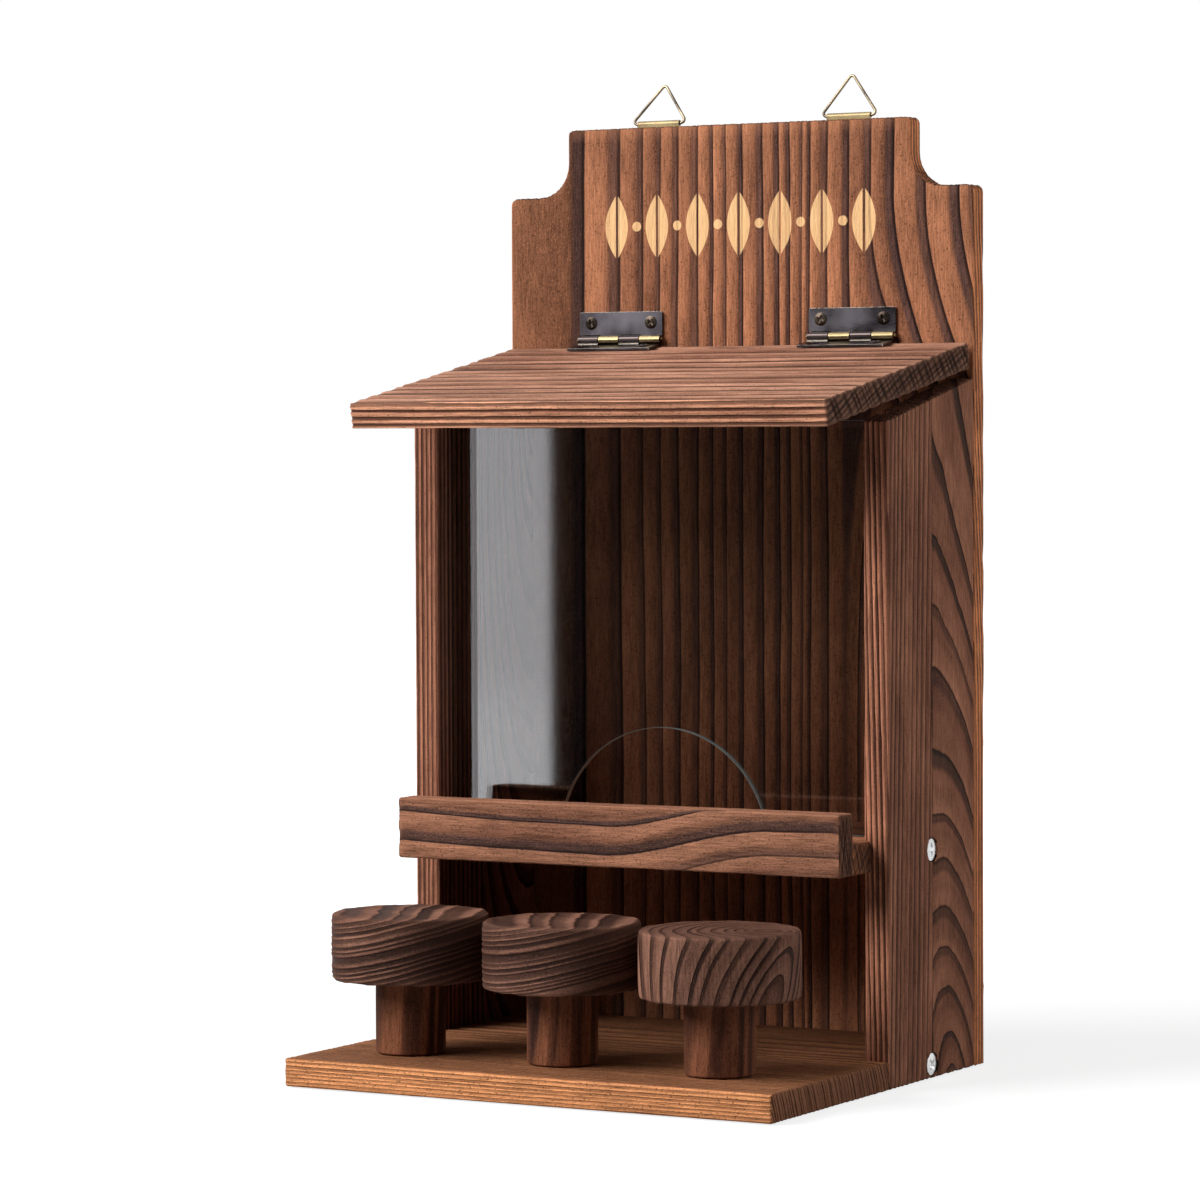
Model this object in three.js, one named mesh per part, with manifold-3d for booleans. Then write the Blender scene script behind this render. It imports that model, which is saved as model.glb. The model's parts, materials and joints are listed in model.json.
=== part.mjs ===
// A wall-hung or free-standing wooden feeder box: a notched back board carries two side
// panels, a base with three stools, a feeding shelf, a hinged roof and a sliding window.
// Millimetres, +Z up, front towards -Y. The origin is the middle of the base's underside.

import * as THREE from "three";
import { mergeVertices } from "three/addons/utils/BufferGeometryUtils.js";
import Module from "manifold-3d";

const wasm = await Module();
wasm.setup();

// Back board
const body_width = 180;
const back_thickness = 8.2;
const back_height = 320;
const neck_height = 23.4;
const neck_inset = 23.5;
const cove_radius = 11.5;
const neck_corner_radius = 2;
const shoulder_corner_radius = 3;

// Side panels, with a groove each for the window, cut to clear the closed roof
const side_thickness = 9.2;
const side_depth = 65.7;
const roof_clearance_front = 5.16;
const roof_clearance_rear = 2.82;
const groove_setback = 9.1;
const groove_width = 4.6;
const groove_depth = 4;

// Base board and feeding shelf, both wider in front of the side panels
const base_thickness = 9.5;
const base_reach = 148.8;
const shelf_height = 81.1;
const shelf_thickness = 10.6;
const shelf_overhang = 11.9;
const shelf_lap = 2.6;

// Rail on the shelf's front edge
const rail_thickness = 10.3;
const rail_height = 20.6;

// Clear window as high as the side panels' front edges, with an arched feed opening at its foot
const window_thickness = 2.1;
const window_edge_gap = 0.6;
const arch_radius = 39.8;
const arch_drop = 6.2;

// Roof board, which stops with its rear lower edge on the back board
const roof_side_inset = 0.75;
const roof_length = 108.5;
const roof_thickness = 9.1;
const roof_slope_degrees = 10.4;
const roof_stop_gap = 0.3;

// Butt hinges; the crank is the step from a roof leaf's barrel down to its plate
const hinge_offset = 44.9;
const hinge_length = 32.7;
const hinge_pin_height = 246.2;
const barrel_radius = 1.5;
const leaf_thickness = 0.8;
const leaf_reach = 9.7;
const leaf_corner_radius = 0.6;
const pin_radius = 0.7;
const pin_end = 0.5;
const barrel_clearance = 0.25;
const knuckle_gap = 0.3;
const knuckle_count = 4;
const leaf_bend_share = 0.6;
const hinge_crank = 0.66;
const hinge_screw_end_inset = 4.5;
const hinge_screw_reach = 5.9;

// Stools, whose seats fill a row along the base
const stool_count = 3;
const stool_gap = 5.6;
const stool_end_margin = 6.1;
const stool_row_offset = -2.2;
const stool_inset = 30.7;
const stool_seat_thickness = 22.4;
const stool_leg_radius = 11.6;
const stool_leg_height = 24.2;
const stool_ease = 0.9;

// Triangular hanging rings in straps behind the back board
const hanger_left_offset = 35;
const hanger_right_offset = 39;
const hanger_axis_rise = 1.6;
const ring_shoulder = 2.7;
const ring_height = 14.9;
const ring_corner_radius = 1.6;
const ring_wire_radius = 0.5;
const ring_end_gap = 0.4;
const ring_left_lean_degrees = 19;
const ring_right_lean_degrees = 10;
const strap_width = 16.5;
const strap_thickness = 0.4;
const strap_length = 14;
const strap_corner_radius = 2.5;
const strap_clearance = 0.15;
const strap_screw_drop = 8.5;

// Countersunk wood screws, in two lengths
const screw_head_radius = 3.8;
const screw_head_depth = 2.4;
const screw_dome = 0.3;
const screw_shank_radius = 1.7;
const screw_length = 25;
const stool_screw_length = 44;
const screw_sink = 0.5;
const screw_taper = 4;

// Domed screws of the hinges and straps
const small_head_radius = 2.35;
const small_head_height = 0.65;
const small_shank_radius = 1;
const small_screw_length = 7.6;
const small_screw_taper = 2;

// Cross recess of every screw head, as shares of the head
const recess_length_share = 1.15;
const recess_width_share = 0.3;
const recess_depth_share = 0.45;
const screw_turn_share = 0.37;

// Places along the boards, as shares of the board that carries the screws
const side_screw_height_shares = [0.12, 0.5, 0.88];
const cross_screw_place_shares = [-0.5, 0.5];

// Fits
const joint_gap = 0.1;
const screw_clearance = 0.3;
const leaf_seat_gap = 0.3;
const board_ease = 0.5;
const board_corner_radius = 1.2;
const window_ease = 0.2;
const overrun = 2;
const weld_distance = 0.0001;

// Facets
const corner_steps = 4;
const screw_sides = 12;
const barrel_sides = 16;
const leg_sides = 28;
const seat_sides = 40;
const arch_steps = 24;
const wire_sides = 8;
const wire_steps = 48;

// Derived places, measured from the back board's front face
const half_width = body_width / 2;
const shoulder_height = back_height - neck_height;
const inner_half_width = half_width - side_thickness;
const between_sides = inner_half_width - joint_gap;
const side_front = -side_depth - joint_gap;
const roof_slope = THREE.MathUtils.degToRad(roof_slope_degrees);
const roof_width = body_width - roof_side_inset - roof_side_inset;
const pin_behind = -barrel_radius - joint_gap;
const pin_above_roof = barrel_radius + leaf_seat_gap + hinge_crank;
const roof_rise = pin_above_roof + roof_thickness;
const side_rear_height = roofUnderside(-joint_gap) - roof_clearance_rear;
const side_front_height = roofUnderside(side_front) - roof_clearance_front;
const window_height = side_front_height - shelf_height - joint_gap;
const shelf_front = side_front - joint_gap - shelf_overhang;
const shelf_half_width = inner_half_width + shelf_lap;
const groove_front = side_front + groove_setback;
const window_rear = groove_front + groove_width - joint_gap - joint_gap;
const stool_row = body_width - stool_end_margin - stool_end_margin;
const stool_pitch = (stool_row + stool_gap) / stool_count;
const stool_seat_radius = (stool_pitch - stool_gap) / 2;
const hinge_screw_spacing = hinge_length - hinge_screw_end_inset - hinge_screw_end_inset;
const ring_base = strap_width + ring_shoulder + ring_shoulder;
const strap_loop_radius = ring_wire_radius + strap_clearance + strap_thickness;
const hanger_axis_behind = back_thickness + joint_gap + strap_loop_radius;
const hanger_axis_height = back_height + hanger_axis_rise;

const right = new THREE.Vector3(1, 0, 0);
const back = new THREE.Vector3(0, 1, 0);
const up = new THREE.Vector3(0, 0, 1);

const wood = { color: 0x7a4a30, roughness: 0.75, metalness: 0 };
const dark_wood = { color: 0x4d3329, roughness: 0.8, metalness: 0 };
const clear_plastic = { color: 0xdfe6ea, roughness: 0.08, metalness: 0, transparent: true, opacity: 0.3 };
const bronze = { color: 0x3c3833, roughness: 0.4, metalness: 0.9 };
const brass = { color: 0xb59a5a, roughness: 0.35, metalness: 1 };
const zinc = { color: 0xc9c9c6, roughness: 0.3, metalness: 1 };

// Height of the closed roof's underside above the base's underside, at a place behind the origin.
function roofUnderside(place) {
  return hinge_pin_height + (place - pin_behind) * Math.tan(roof_slope) - roof_rise / Math.cos(roof_slope);
}

function toSolid(geometry) {
  const bare = geometry.clone();
  bare.deleteAttribute("normal");
  bare.deleteAttribute("uv");
  const merged = mergeVertices(bare, weld_distance);
  const vertProperties = new Float32Array(merged.attributes.position.array);
  const triVerts = new Uint32Array(merged.index.array);
  return new wasm.Manifold(new wasm.Mesh({ numProp: 3, vertProperties, triVerts }));
}

function toGeometry(solid) {
  const { vertProperties, triVerts } = solid.getMesh();
  const geometry = new THREE.BufferGeometry();
  geometry.setAttribute("position", new THREE.BufferAttribute(vertProperties, 3));
  geometry.setIndex(new THREE.BufferAttribute(triVerts, 1));
  geometry.computeVertexNormals();
  return geometry;
}

function join(...geometries) {
  return toGeometry(geometries.map(toSolid).reduce((whole, next) => whole.add(next)));
}

function cut(geometry, ...tools) {
  return toGeometry(tools.map(toSolid).reduce((rest, tool) => rest.subtract(tool), toSolid(geometry)));
}

function block(low, high) {
  const size = new THREE.Vector3().subVectors(high, low);
  const middle = new THREE.Vector3().addVectors(low, high).multiplyScalar(1 / 2);
  return new THREE.BoxGeometry(size.x, size.y, size.z).translate(middle.x, middle.y, middle.z);
}

// A closed outline from corners [x, y, corner radius], counterclockwise.
function outline(corners) {
  const shape = new THREE.Shape();
  const points = corners.map(([x, y]) => new THREE.Vector2(x, y));
  corners.forEach(([x, y, radius], index) => {
    const towards = (neighbour) => neighbour.clone().sub(points[index]).setLength(radius).add(points[index]);
    const before = towards(points.at(index - 1));
    const after = towards(points[(index + 1) % points.length]);
    if (index === 0) {
      shape.moveTo(before.x, before.y);
    } else {
      shape.lineTo(before.x, before.y);
    }
    shape.quadraticCurveTo(x, y, after.x, after.y);
  });
  shape.closePath();
  return shape;
}

// A board with eased edges: its outline lies in X and Y, its thickness runs up from z = 0.
function board(shape, thickness, ease) {
  const geometry = new THREE.ExtrudeGeometry(shape, {
    depth: thickness - ease - ease,
    bevelThickness: ease,
    bevelSize: ease,
    bevelOffset: -ease,
    bevelSegments: 1,
    curveSegments: corner_steps,
  });
  return geometry.translate(0, 0, ease);
}

function piece(name, geometry, finish) {
  const mesh = new THREE.Mesh(geometry, new THREE.MeshStandardMaterial(finish));
  mesh.name = name;
  mesh.userData.holes = [];
  return mesh;
}

// Stand a board up so that its outline's X and Y run along the two given directions.
function stand(mesh, along, rising) {
  const facing = new THREE.Vector3().crossVectors(along, rising);
  mesh.setRotationFromMatrix(new THREE.Matrix4().makeBasis(along, rising, facing));
  return mesh;
}

function backOutline() {
  const neck = half_width - neck_inset;
  const cove_x = neck + cove_radius;
  const cove_y = shoulder_height + cove_radius;
  const quarter = Math.PI / 2;
  const shape = new THREE.Shape();
  shape.moveTo(-half_width, 0);
  shape.lineTo(half_width, 0);
  shape.lineTo(half_width, shoulder_height - shoulder_corner_radius);
  shape.quadraticCurveTo(half_width, shoulder_height, half_width - shoulder_corner_radius, shoulder_height);
  shape.lineTo(cove_x, shoulder_height);
  shape.absarc(cove_x, cove_y, cove_radius, -quarter, -quarter - quarter, true);
  shape.lineTo(neck, back_height - neck_corner_radius);
  shape.quadraticCurveTo(neck, back_height, neck - neck_corner_radius, back_height);
  shape.lineTo(-neck + neck_corner_radius, back_height);
  shape.quadraticCurveTo(-neck, back_height, -neck, back_height - neck_corner_radius);
  shape.lineTo(-neck, cove_y);
  shape.absarc(-cove_x, cove_y, cove_radius, 0, -quarter, true);
  shape.lineTo(-half_width + shoulder_corner_radius, shoulder_height);
  shape.quadraticCurveTo(-half_width, shoulder_height, -half_width, shoulder_height - shoulder_corner_radius);
  shape.closePath();
  return shape;
}

function backBoard() {
  const mesh = piece("back_board", board(backOutline(), back_thickness, board_ease), wood);
  stand(mesh, right, up).position.y = back_thickness;
  return mesh;
}

// The panel's outline runs back and up; side is -1 for the left panel and 1 for the right.
function sidePanel(name, side) {
  const shape = outline([
    [side_front, 0, board_corner_radius],
    [-joint_gap, 0, board_corner_radius],
    [-joint_gap, side_rear_height, board_corner_radius],
    [side_front, side_front_height, board_corner_radius],
  ]);
  const inner_face = -side * side_thickness / 2;
  const groove = block(
    new THREE.Vector3(groove_front, shelf_height, inner_face - groove_depth),
    new THREE.Vector3(groove_front + groove_width, side_rear_height + overrun, inner_face + groove_depth),
  );
  const plank = board(shape, side_thickness, board_ease).translate(0, 0, -side_thickness / 2);
  const mesh = piece(name, cut(plank, groove), wood);
  stand(mesh, back, up).position.x = side * (half_width - side_thickness / 2);
  return mesh;
}

// An outline that is narrow between the side panels and wide in front of them.
function steppedOutline(front, front_half_width) {
  const step = side_front - joint_gap;
  return outline([
    [-front_half_width, front, board_corner_radius],
    [front_half_width, front, board_corner_radius],
    [front_half_width, step, 0],
    [between_sides, step, 0],
    [between_sides, -joint_gap, board_corner_radius],
    [-between_sides, -joint_gap, board_corner_radius],
    [-between_sides, step, 0],
    [-front_half_width, step, 0],
  ]);
}

function baseBoard() {
  const shape = steppedOutline(-base_reach, half_width);
  return piece("base_board", board(shape, base_thickness, board_ease), wood);
}

function feedShelf() {
  const shape = steppedOutline(shelf_front, shelf_half_width);
  const mesh = piece("feed_shelf", board(shape, shelf_thickness, board_ease), wood);
  mesh.position.z = shelf_height - shelf_thickness;
  return mesh;
}

function frontRail() {
  const shape = outline([
    [-shelf_half_width, 0, board_corner_radius],
    [shelf_half_width, 0, board_corner_radius],
    [shelf_half_width, rail_height, board_corner_radius],
    [-shelf_half_width, rail_height, board_corner_radius],
  ]);
  const mesh = piece("front_rail", board(shape, rail_thickness, board_ease), wood);
  stand(mesh, right, up).position.set(0, shelf_front - joint_gap, shelf_height - shelf_thickness);
  return mesh;
}

// A sheet that stands on the shelf in both grooves, with an arch cut from its lower edge.
function windowPanel() {
  const half = inner_half_width + groove_depth - window_edge_gap;
  const arch_half = Math.sqrt(arch_radius ** 2 - arch_drop ** 2);
  const spring = Math.atan2(arch_drop, arch_half);
  const shape = new THREE.Shape();
  shape.moveTo(-half, 0);
  shape.lineTo(-arch_half, 0);
  shape.absarc(0, -arch_drop, arch_radius, Math.PI - spring, spring, true);
  shape.lineTo(half, 0);
  shape.lineTo(half, window_height);
  shape.lineTo(-half, window_height);
  shape.closePath();
  const geometry = new THREE.ExtrudeGeometry(shape, {
    depth: window_thickness - window_ease - window_ease,
    bevelThickness: window_ease,
    bevelSize: window_ease,
    bevelOffset: -window_ease,
    bevelSegments: 1,
    curveSegments: arch_steps,
  });
  const mesh = piece("window_panel", geometry, clear_plastic);
  stand(mesh, right, up).position.set(0, window_rear - window_ease, shelf_height + joint_gap);
  return mesh;
}

// A round block standing on z = 0, with eased rims.
function roundBlock(radius, height, sides) {
  const profile = [
    new THREE.Vector2(0, 0),
    new THREE.Vector2(radius - stool_ease, 0),
    new THREE.Vector2(radius, stool_ease),
    new THREE.Vector2(radius, height - stool_ease),
    new THREE.Vector2(radius - stool_ease, height),
    new THREE.Vector2(0, height),
  ];
  return lathed(profile, sides);
}

function lathed(profile, sides) {
  return new THREE.LatheGeometry(profile, sides).rotateX(Math.PI / 2);
}

// A screw's turned profile, from its point to the middle of its head, in its own frame: the
// head faces +Z and the wood's face is z = 0. The clearance widens it into its own hole.
function sunkProfile(length, clearance, top) {
  const shank = screw_shank_radius + clearance;
  const head = screw_head_radius + clearance;
  return [
    new THREE.Vector2(0, -length - clearance),
    new THREE.Vector2(shank, -length + screw_taper - clearance),
    new THREE.Vector2(shank, -screw_sink - screw_head_depth - clearance),
    new THREE.Vector2(head, -screw_sink - clearance),
    new THREE.Vector2(head, top - screw_dome),
    new THREE.Vector2(0, top),
  ];
}

function sunkScrew(name, length) {
  const head_top = screw_dome - screw_sink;
  const shaft = lathed(sunkProfile(length, 0, head_top), screw_sides);
  const recess = crossRecess(screw_head_radius, screw_head_depth, head_top);
  const mesh = piece(name, cut(shaft, ...recess), zinc);
  mesh.userData.hole = lathed(sunkProfile(length, screw_clearance, overrun), screw_sides);
  return mesh;
}

function domedScrew(name, finish) {
  const rim = small_head_height * recess_depth_share;
  const profile = [
    new THREE.Vector2(0, -small_screw_length),
    new THREE.Vector2(small_shank_radius, -small_screw_length + small_screw_taper),
    new THREE.Vector2(small_shank_radius, joint_gap),
    new THREE.Vector2(small_head_radius, joint_gap),
    new THREE.Vector2(small_head_radius, rim),
    new THREE.Vector2(small_head_radius - rim, small_head_height),
    new THREE.Vector2(0, small_head_height),
  ];
  const bore = small_shank_radius + screw_clearance;
  const hole = [
    new THREE.Vector2(0, -small_screw_length - screw_clearance),
    new THREE.Vector2(bore, -small_screw_length + small_screw_taper - screw_clearance),
    new THREE.Vector2(bore, overrun),
    new THREE.Vector2(0, overrun),
  ];
  const recess = crossRecess(small_head_radius, small_head_height, small_head_height);
  const mesh = piece(name, cut(lathed(profile, screw_sides), ...recess), finish);
  mesh.userData.hole = lathed(hole, screw_sides);
  return mesh;
}

// Each driven screw stops at another turn, so each recess is turned on by a share of a quarter.
let screws_made = 0;

function crossRecess(head_radius, head_depth, head_top) {
  screws_made += 1;
  const turn = screws_made * screw_turn_share;
  const arm = head_radius * recess_length_share / 2;
  const half = head_radius * recess_width_share / 2;
  const depth = head_depth * recess_depth_share;
  return [0, 1].map((arm_index) => {
    const low = new THREE.Vector3(-arm, -half, head_top - depth);
    const high = new THREE.Vector3(arm, half, head_top + head_depth);
    return block(low, high).rotateZ((arm_index + turn) * Math.PI / 2);
  });
}

// Place a screw with its head facing outwards, and note its hole in every piece it enters.
function drive(screw, parent, place, outwards, pieces) {
  screw.position.copy(place);
  screw.quaternion.setFromUnitVectors(up, outwards);
  parent.add(screw);
  screw.updateWorldMatrix(true, false);
  for (const pierced of pieces) {
    pierced.updateWorldMatrix(true, false);
    const into_piece = pierced.matrixWorld.clone().invert().multiply(screw.matrixWorld);
    pierced.userData.holes.push(screw.userData.hole.clone().applyMatrix4(into_piece));
  }
}

// Half a butt hinge: X along the pin, Y away from it, Z off the seat. The crank drops the
// plate from the barrel's underside to a seat that lies lower. Every second knuckle is its own.
function hingeLeaf(name, crank, first_knuckle) {
  const seat = -barrel_radius - crank;
  const plate_start = barrel_radius + knuckle_gap;
  const plate = board(outline([
    [-hinge_length / 2, plate_start, 0],
    [hinge_length / 2, plate_start, 0],
    [hinge_length / 2, leaf_reach, leaf_corner_radius],
    [-hinge_length / 2, leaf_reach, leaf_corner_radius],
  ]), leaf_thickness, 0).translate(0, 0, seat);
  const bend = barrel_radius * leaf_bend_share;
  const web_shape = outline([
    [0, -barrel_radius, 0],
    [bend, -barrel_radius, 0],
    [plate_start, seat, 0],
    [plate_start + leaf_thickness, seat, 0],
    [plate_start + leaf_thickness, seat + leaf_thickness, 0],
    [plate_start, seat + leaf_thickness, 0],
    [bend, -barrel_radius + leaf_thickness, 0],
    [0, -barrel_radius + leaf_thickness, 0],
  ]);
  const pitch = hinge_length / knuckle_count;
  const length = pitch - knuckle_gap;
  const knuckles = [];
  for (let index = first_knuckle; index < knuckle_count; index += 2) {
    const start = index * pitch - hinge_length / 2 + knuckle_gap / 2;
    const web = new THREE.ExtrudeGeometry(web_shape, { depth: length, bevelEnabled: false });
    web.applyMatrix4(new THREE.Matrix4().makeBasis(back, up, right)).translate(start, 0, 0);
    knuckles.push(web, rod(barrel_radius, start, start + length, barrel_sides));
  }
  const bore_radius = pin_radius + barrel_clearance;
  const bore = rod(bore_radius, -hinge_length, hinge_length, barrel_sides);
  return piece(name, cut(join(plate, ...knuckles), bore), bronze);
}

// A round rod along X between two places.
function rod(radius, start, end, sides) {
  const geometry = new THREE.CylinderGeometry(radius, radius, end - start, sides).rotateZ(Math.PI / 2);
  return geometry.translate((start + end) / 2, 0, 0);
}

// The ring's wire starts and ends at a butt joint halfway up one leg.
function hangingRing(name) {
  const corners = [
    new THREE.Vector3(0, 0, ring_height),
    new THREE.Vector3(-ring_base / 2, 0, 0),
    new THREE.Vector3(ring_base / 2, 0, 0),
  ];
  const [apex, , foot] = corners;
  const middle = apex.clone().add(foot).multiplyScalar(1 / 2);
  const leg = apex.clone().sub(foot).normalize();
  const start = middle.clone().addScaledVector(leg, ring_end_gap / 2);
  const end = middle.clone().addScaledVector(leg, -ring_end_gap / 2);
  const path = new THREE.CurvePath();
  let from = start;
  corners.forEach((corner, index) => {
    const next = corners[index + 1] ?? end;
    const into_bend = from.clone().sub(corner).setLength(ring_corner_radius).add(corner);
    const out_of_bend = next.clone().sub(corner).setLength(ring_corner_radius).add(corner);
    path.add(new THREE.LineCurve3(from, into_bend));
    path.add(new THREE.QuadraticBezierCurve3(into_bend, corner, out_of_bend));
    from = out_of_bend;
  });
  path.add(new THREE.LineCurve3(from, end));
  const section = new THREE.Shape();
  for (let side = 0; side < wire_sides; side += 1) {
    const angle = (side / wire_sides) * Math.PI * 2;
    const x = ring_wire_radius * Math.cos(angle);
    const y = ring_wire_radius * Math.sin(angle);
    if (side === 0) {
      section.moveTo(x, y);
    } else {
      section.lineTo(x, y);
    }
  }
  section.closePath();
  const geometry = new THREE.ExtrudeGeometry(section, { steps: wire_steps, extrudePath: path });
  return piece(name, geometry, brass);
}

// A strap curled round the ring's foot: X along the foot, Y down the board, Z off the board.
function ringStrap(name) {
  const plate = board(outline([
    [-strap_width / 2, 0, 0],
    [strap_width / 2, 0, 0],
    [strap_width / 2, strap_length, strap_corner_radius],
    [-strap_width / 2, strap_length, strap_corner_radius],
  ]), strap_thickness, 0).translate(0, 0, -strap_loop_radius);
  const curl = rod(strap_loop_radius, -strap_width / 2, strap_width / 2, barrel_sides);
  const eye = rod(ring_wire_radius + strap_clearance, -strap_width, strap_width, barrel_sides);
  return piece(name, cut(join(plate, curl), eye), brass);
}

const box = new THREE.Group();
box.position.y = base_reach / 2;

const back_board = backBoard();
const left_side_panel = sidePanel("left_side_panel", -1);
const right_side_panel = sidePanel("right_side_panel", 1);
const base_board = baseBoard();
const feed_shelf = feedShelf();
box.add(back_board, left_side_panel, right_side_panel, base_board, feed_shelf, frontRail(), windowPanel());

// The roof turns about the hinge pins; in this group its top face is level.
const roof = new THREE.Group();
roof.position.set(0, pin_behind, hinge_pin_height);
roof.rotation.x = roof_slope;
box.add(roof);

const roof_rear = (-roof_stop_gap - pin_behind - roof_rise * Math.sin(roof_slope)) / Math.cos(roof_slope);
const roof_board = piece("roof_board", board(outline([
  [-roof_width / 2, roof_rear - roof_length, board_corner_radius],
  [roof_width / 2, roof_rear - roof_length, board_corner_radius],
  [roof_width / 2, roof_rear, board_corner_radius],
  [-roof_width / 2, roof_rear, board_corner_radius],
]), roof_thickness, board_ease), wood);
roof_board.position.z = -roof_rise;
roof.add(roof_board);

for (const [hand, side] of [["left", -1], ["right", 1]]) {
  const middle = side * hinge_offset;
  const wall_leaf = hingeLeaf(`hinge_${hand}_wall_leaf`, 0, 1);
  stand(wall_leaf, right, up).position.set(middle, pin_behind, hinge_pin_height);
  box.add(wall_leaf);

  // The roof leaf is turned end for end, and takes the knuckles that the wall leaf leaves.
  const roof_leaf = hingeLeaf(`hinge_${hand}_roof_leaf`, hinge_crank, (knuckle_count - 1) % 2);
  stand(roof_leaf, right.clone().negate(), back.clone().negate()).position.x = middle;
  roof.add(roof_leaf);

  const pin_half = hinge_length / 2 + pin_end;
  const pin = piece(`hinge_${hand}_pin`, rod(pin_radius, -pin_half, pin_half, screw_sides), brass);
  pin.position.set(middle, pin_behind, hinge_pin_height);
  box.add(pin);

  for (const [mark, end] of [["a", -1], ["b", 1]]) {
    const x = middle + end * hinge_screw_spacing / 2;
    const wall_screw = domedScrew(`hinge_${hand}_wall_screw_${mark}`, bronze);
    const wall_leaf_face = -joint_gap - leaf_thickness;
    const wall_place = new THREE.Vector3(x, wall_leaf_face, hinge_pin_height + hinge_screw_reach);
    drive(wall_screw, box, wall_place, back.clone().negate(), [back_board, wall_leaf]);
    const roof_screw = domedScrew(`hinge_${hand}_roof_screw_${mark}`, bronze);
    const leaf_top = leaf_seat_gap + leaf_thickness - pin_above_roof;
    const roof_place = new THREE.Vector3(x, -hinge_screw_reach, leaf_top);
    drive(roof_screw, roof, roof_place, up, [roof_board, roof_leaf]);
  }
  drillAll([wall_leaf, roof_leaf]);
}

// Screws through each side panel into the ends of the shelf and the base, and through the
// back board into the side panels' rear edges.
const crossings = [
  ["shelf", feed_shelf, shelf_height - shelf_thickness / 2],
  ["base", base_board, base_thickness / 2],
];
for (const [hand, side, panel] of [["left", -1, left_side_panel], ["right", 1, right_side_panel]]) {
  const outwards = right.clone().multiplyScalar(side);
  for (const [crossing_name, crossing, z] of crossings) {
    const screw = sunkScrew(`side_${hand}_${crossing_name}_screw`, screw_length);
    drive(screw, box, new THREE.Vector3(side * half_width, side_front / 2, z), outwards, [panel, crossing]);
  }
  side_screw_height_shares.forEach((share, index) => {
    const screw = sunkScrew(`back_${hand}_screw_${index + 1}`, screw_length);
    const x = side * (half_width - side_thickness / 2);
    const place = new THREE.Vector3(x, back_thickness, share * side_front_height);
    drive(screw, box, place, back, [back_board, panel]);
  });
}

// Screws through the back board into the rear edges of the shelf and the base.
for (const [crossing_name, crossing, z] of crossings) {
  cross_screw_place_shares.forEach((share, index) => {
    const screw = sunkScrew(`back_${crossing_name}_screw_${index + 1}`, screw_length);
    const place = new THREE.Vector3(share * inner_half_width, back_thickness, z);
    drive(screw, box, place, back, [back_board, crossing]);
  });
}

// Stools: a long screw from below holds the leg and the seat on the base.
["left", "middle", "right"].forEach((hand, index) => {
  const x = stool_row_offset + (index - (stool_count - 1) / 2) * stool_pitch;
  const y = stool_inset - base_reach;
  const leg_shape = roundBlock(stool_leg_radius, stool_leg_height, leg_sides);
  const leg = piece(`stool_leg_${hand}`, leg_shape, dark_wood);
  leg.position.set(x, y, base_thickness + joint_gap);
  const seat_shape = roundBlock(stool_seat_radius, stool_seat_thickness, seat_sides);
  const seat = piece(`stool_seat_${hand}`, seat_shape, dark_wood);
  seat.position.set(x, y, base_thickness + joint_gap + stool_leg_height + joint_gap);
  box.add(leg, seat);
  const screw = sunkScrew(`stool_screw_${hand}`, stool_screw_length);
  drive(screw, box, new THREE.Vector3(x, y, 0), up.clone().negate(), [base_board, leg, seat]);
  drillAll([leg, seat]);
});

const hangers = [
  ["left", -hanger_left_offset, ring_left_lean_degrees],
  ["right", hanger_right_offset, ring_right_lean_degrees],
];
for (const [hand, x, lean_degrees] of hangers) {
  const strap = ringStrap(`hanger_${hand}_strap`);
  stand(strap, right, up.clone().negate()).position.set(x, hanger_axis_behind, hanger_axis_height);
  box.add(strap);
  const ring = hangingRing(`hanger_${hand}_ring`);
  ring.position.set(x, hanger_axis_behind, hanger_axis_height);
  ring.rotation.x = -THREE.MathUtils.degToRad(lean_degrees);
  box.add(ring);
  const screw = domedScrew(`hanger_${hand}_screw`, brass);
  const strap_face = back_thickness + joint_gap + strap_thickness;
  const place = new THREE.Vector3(x, strap_face, hanger_axis_height - strap_screw_drop);
  drive(screw, box, place, back, [back_board, strap]);
  drillAll([strap]);
}

drillAll([back_board, left_side_panel, right_side_panel, base_board, feed_shelf, roof_board]);

function drillAll(pieces) {
  for (const pierced of pieces) {
    pierced.geometry = cut(pierced.geometry, ...pierced.userData.holes);
  }
}

export default box;
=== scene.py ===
# %% [markdown]
# # A charred-wood feeder box, dressed around its CAD frame
# The boards, hinges, rings and screws are already built at their real size in a CAD model.
# This lesson keeps every piece where the CAD put it and gives it the look of the real one:
# softwood that was charred and brushed, antique hinges, plated wire rings, zinc screws and
# a clear sheet. Where a CAD solid is too plain for a close look, a finer mesh replaces it.

# %% Load the frame
import json
import math
from dataclasses import dataclass, replace

import bmesh
import bpy
import numpy as np
from mathutils import Matrix, Vector

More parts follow.
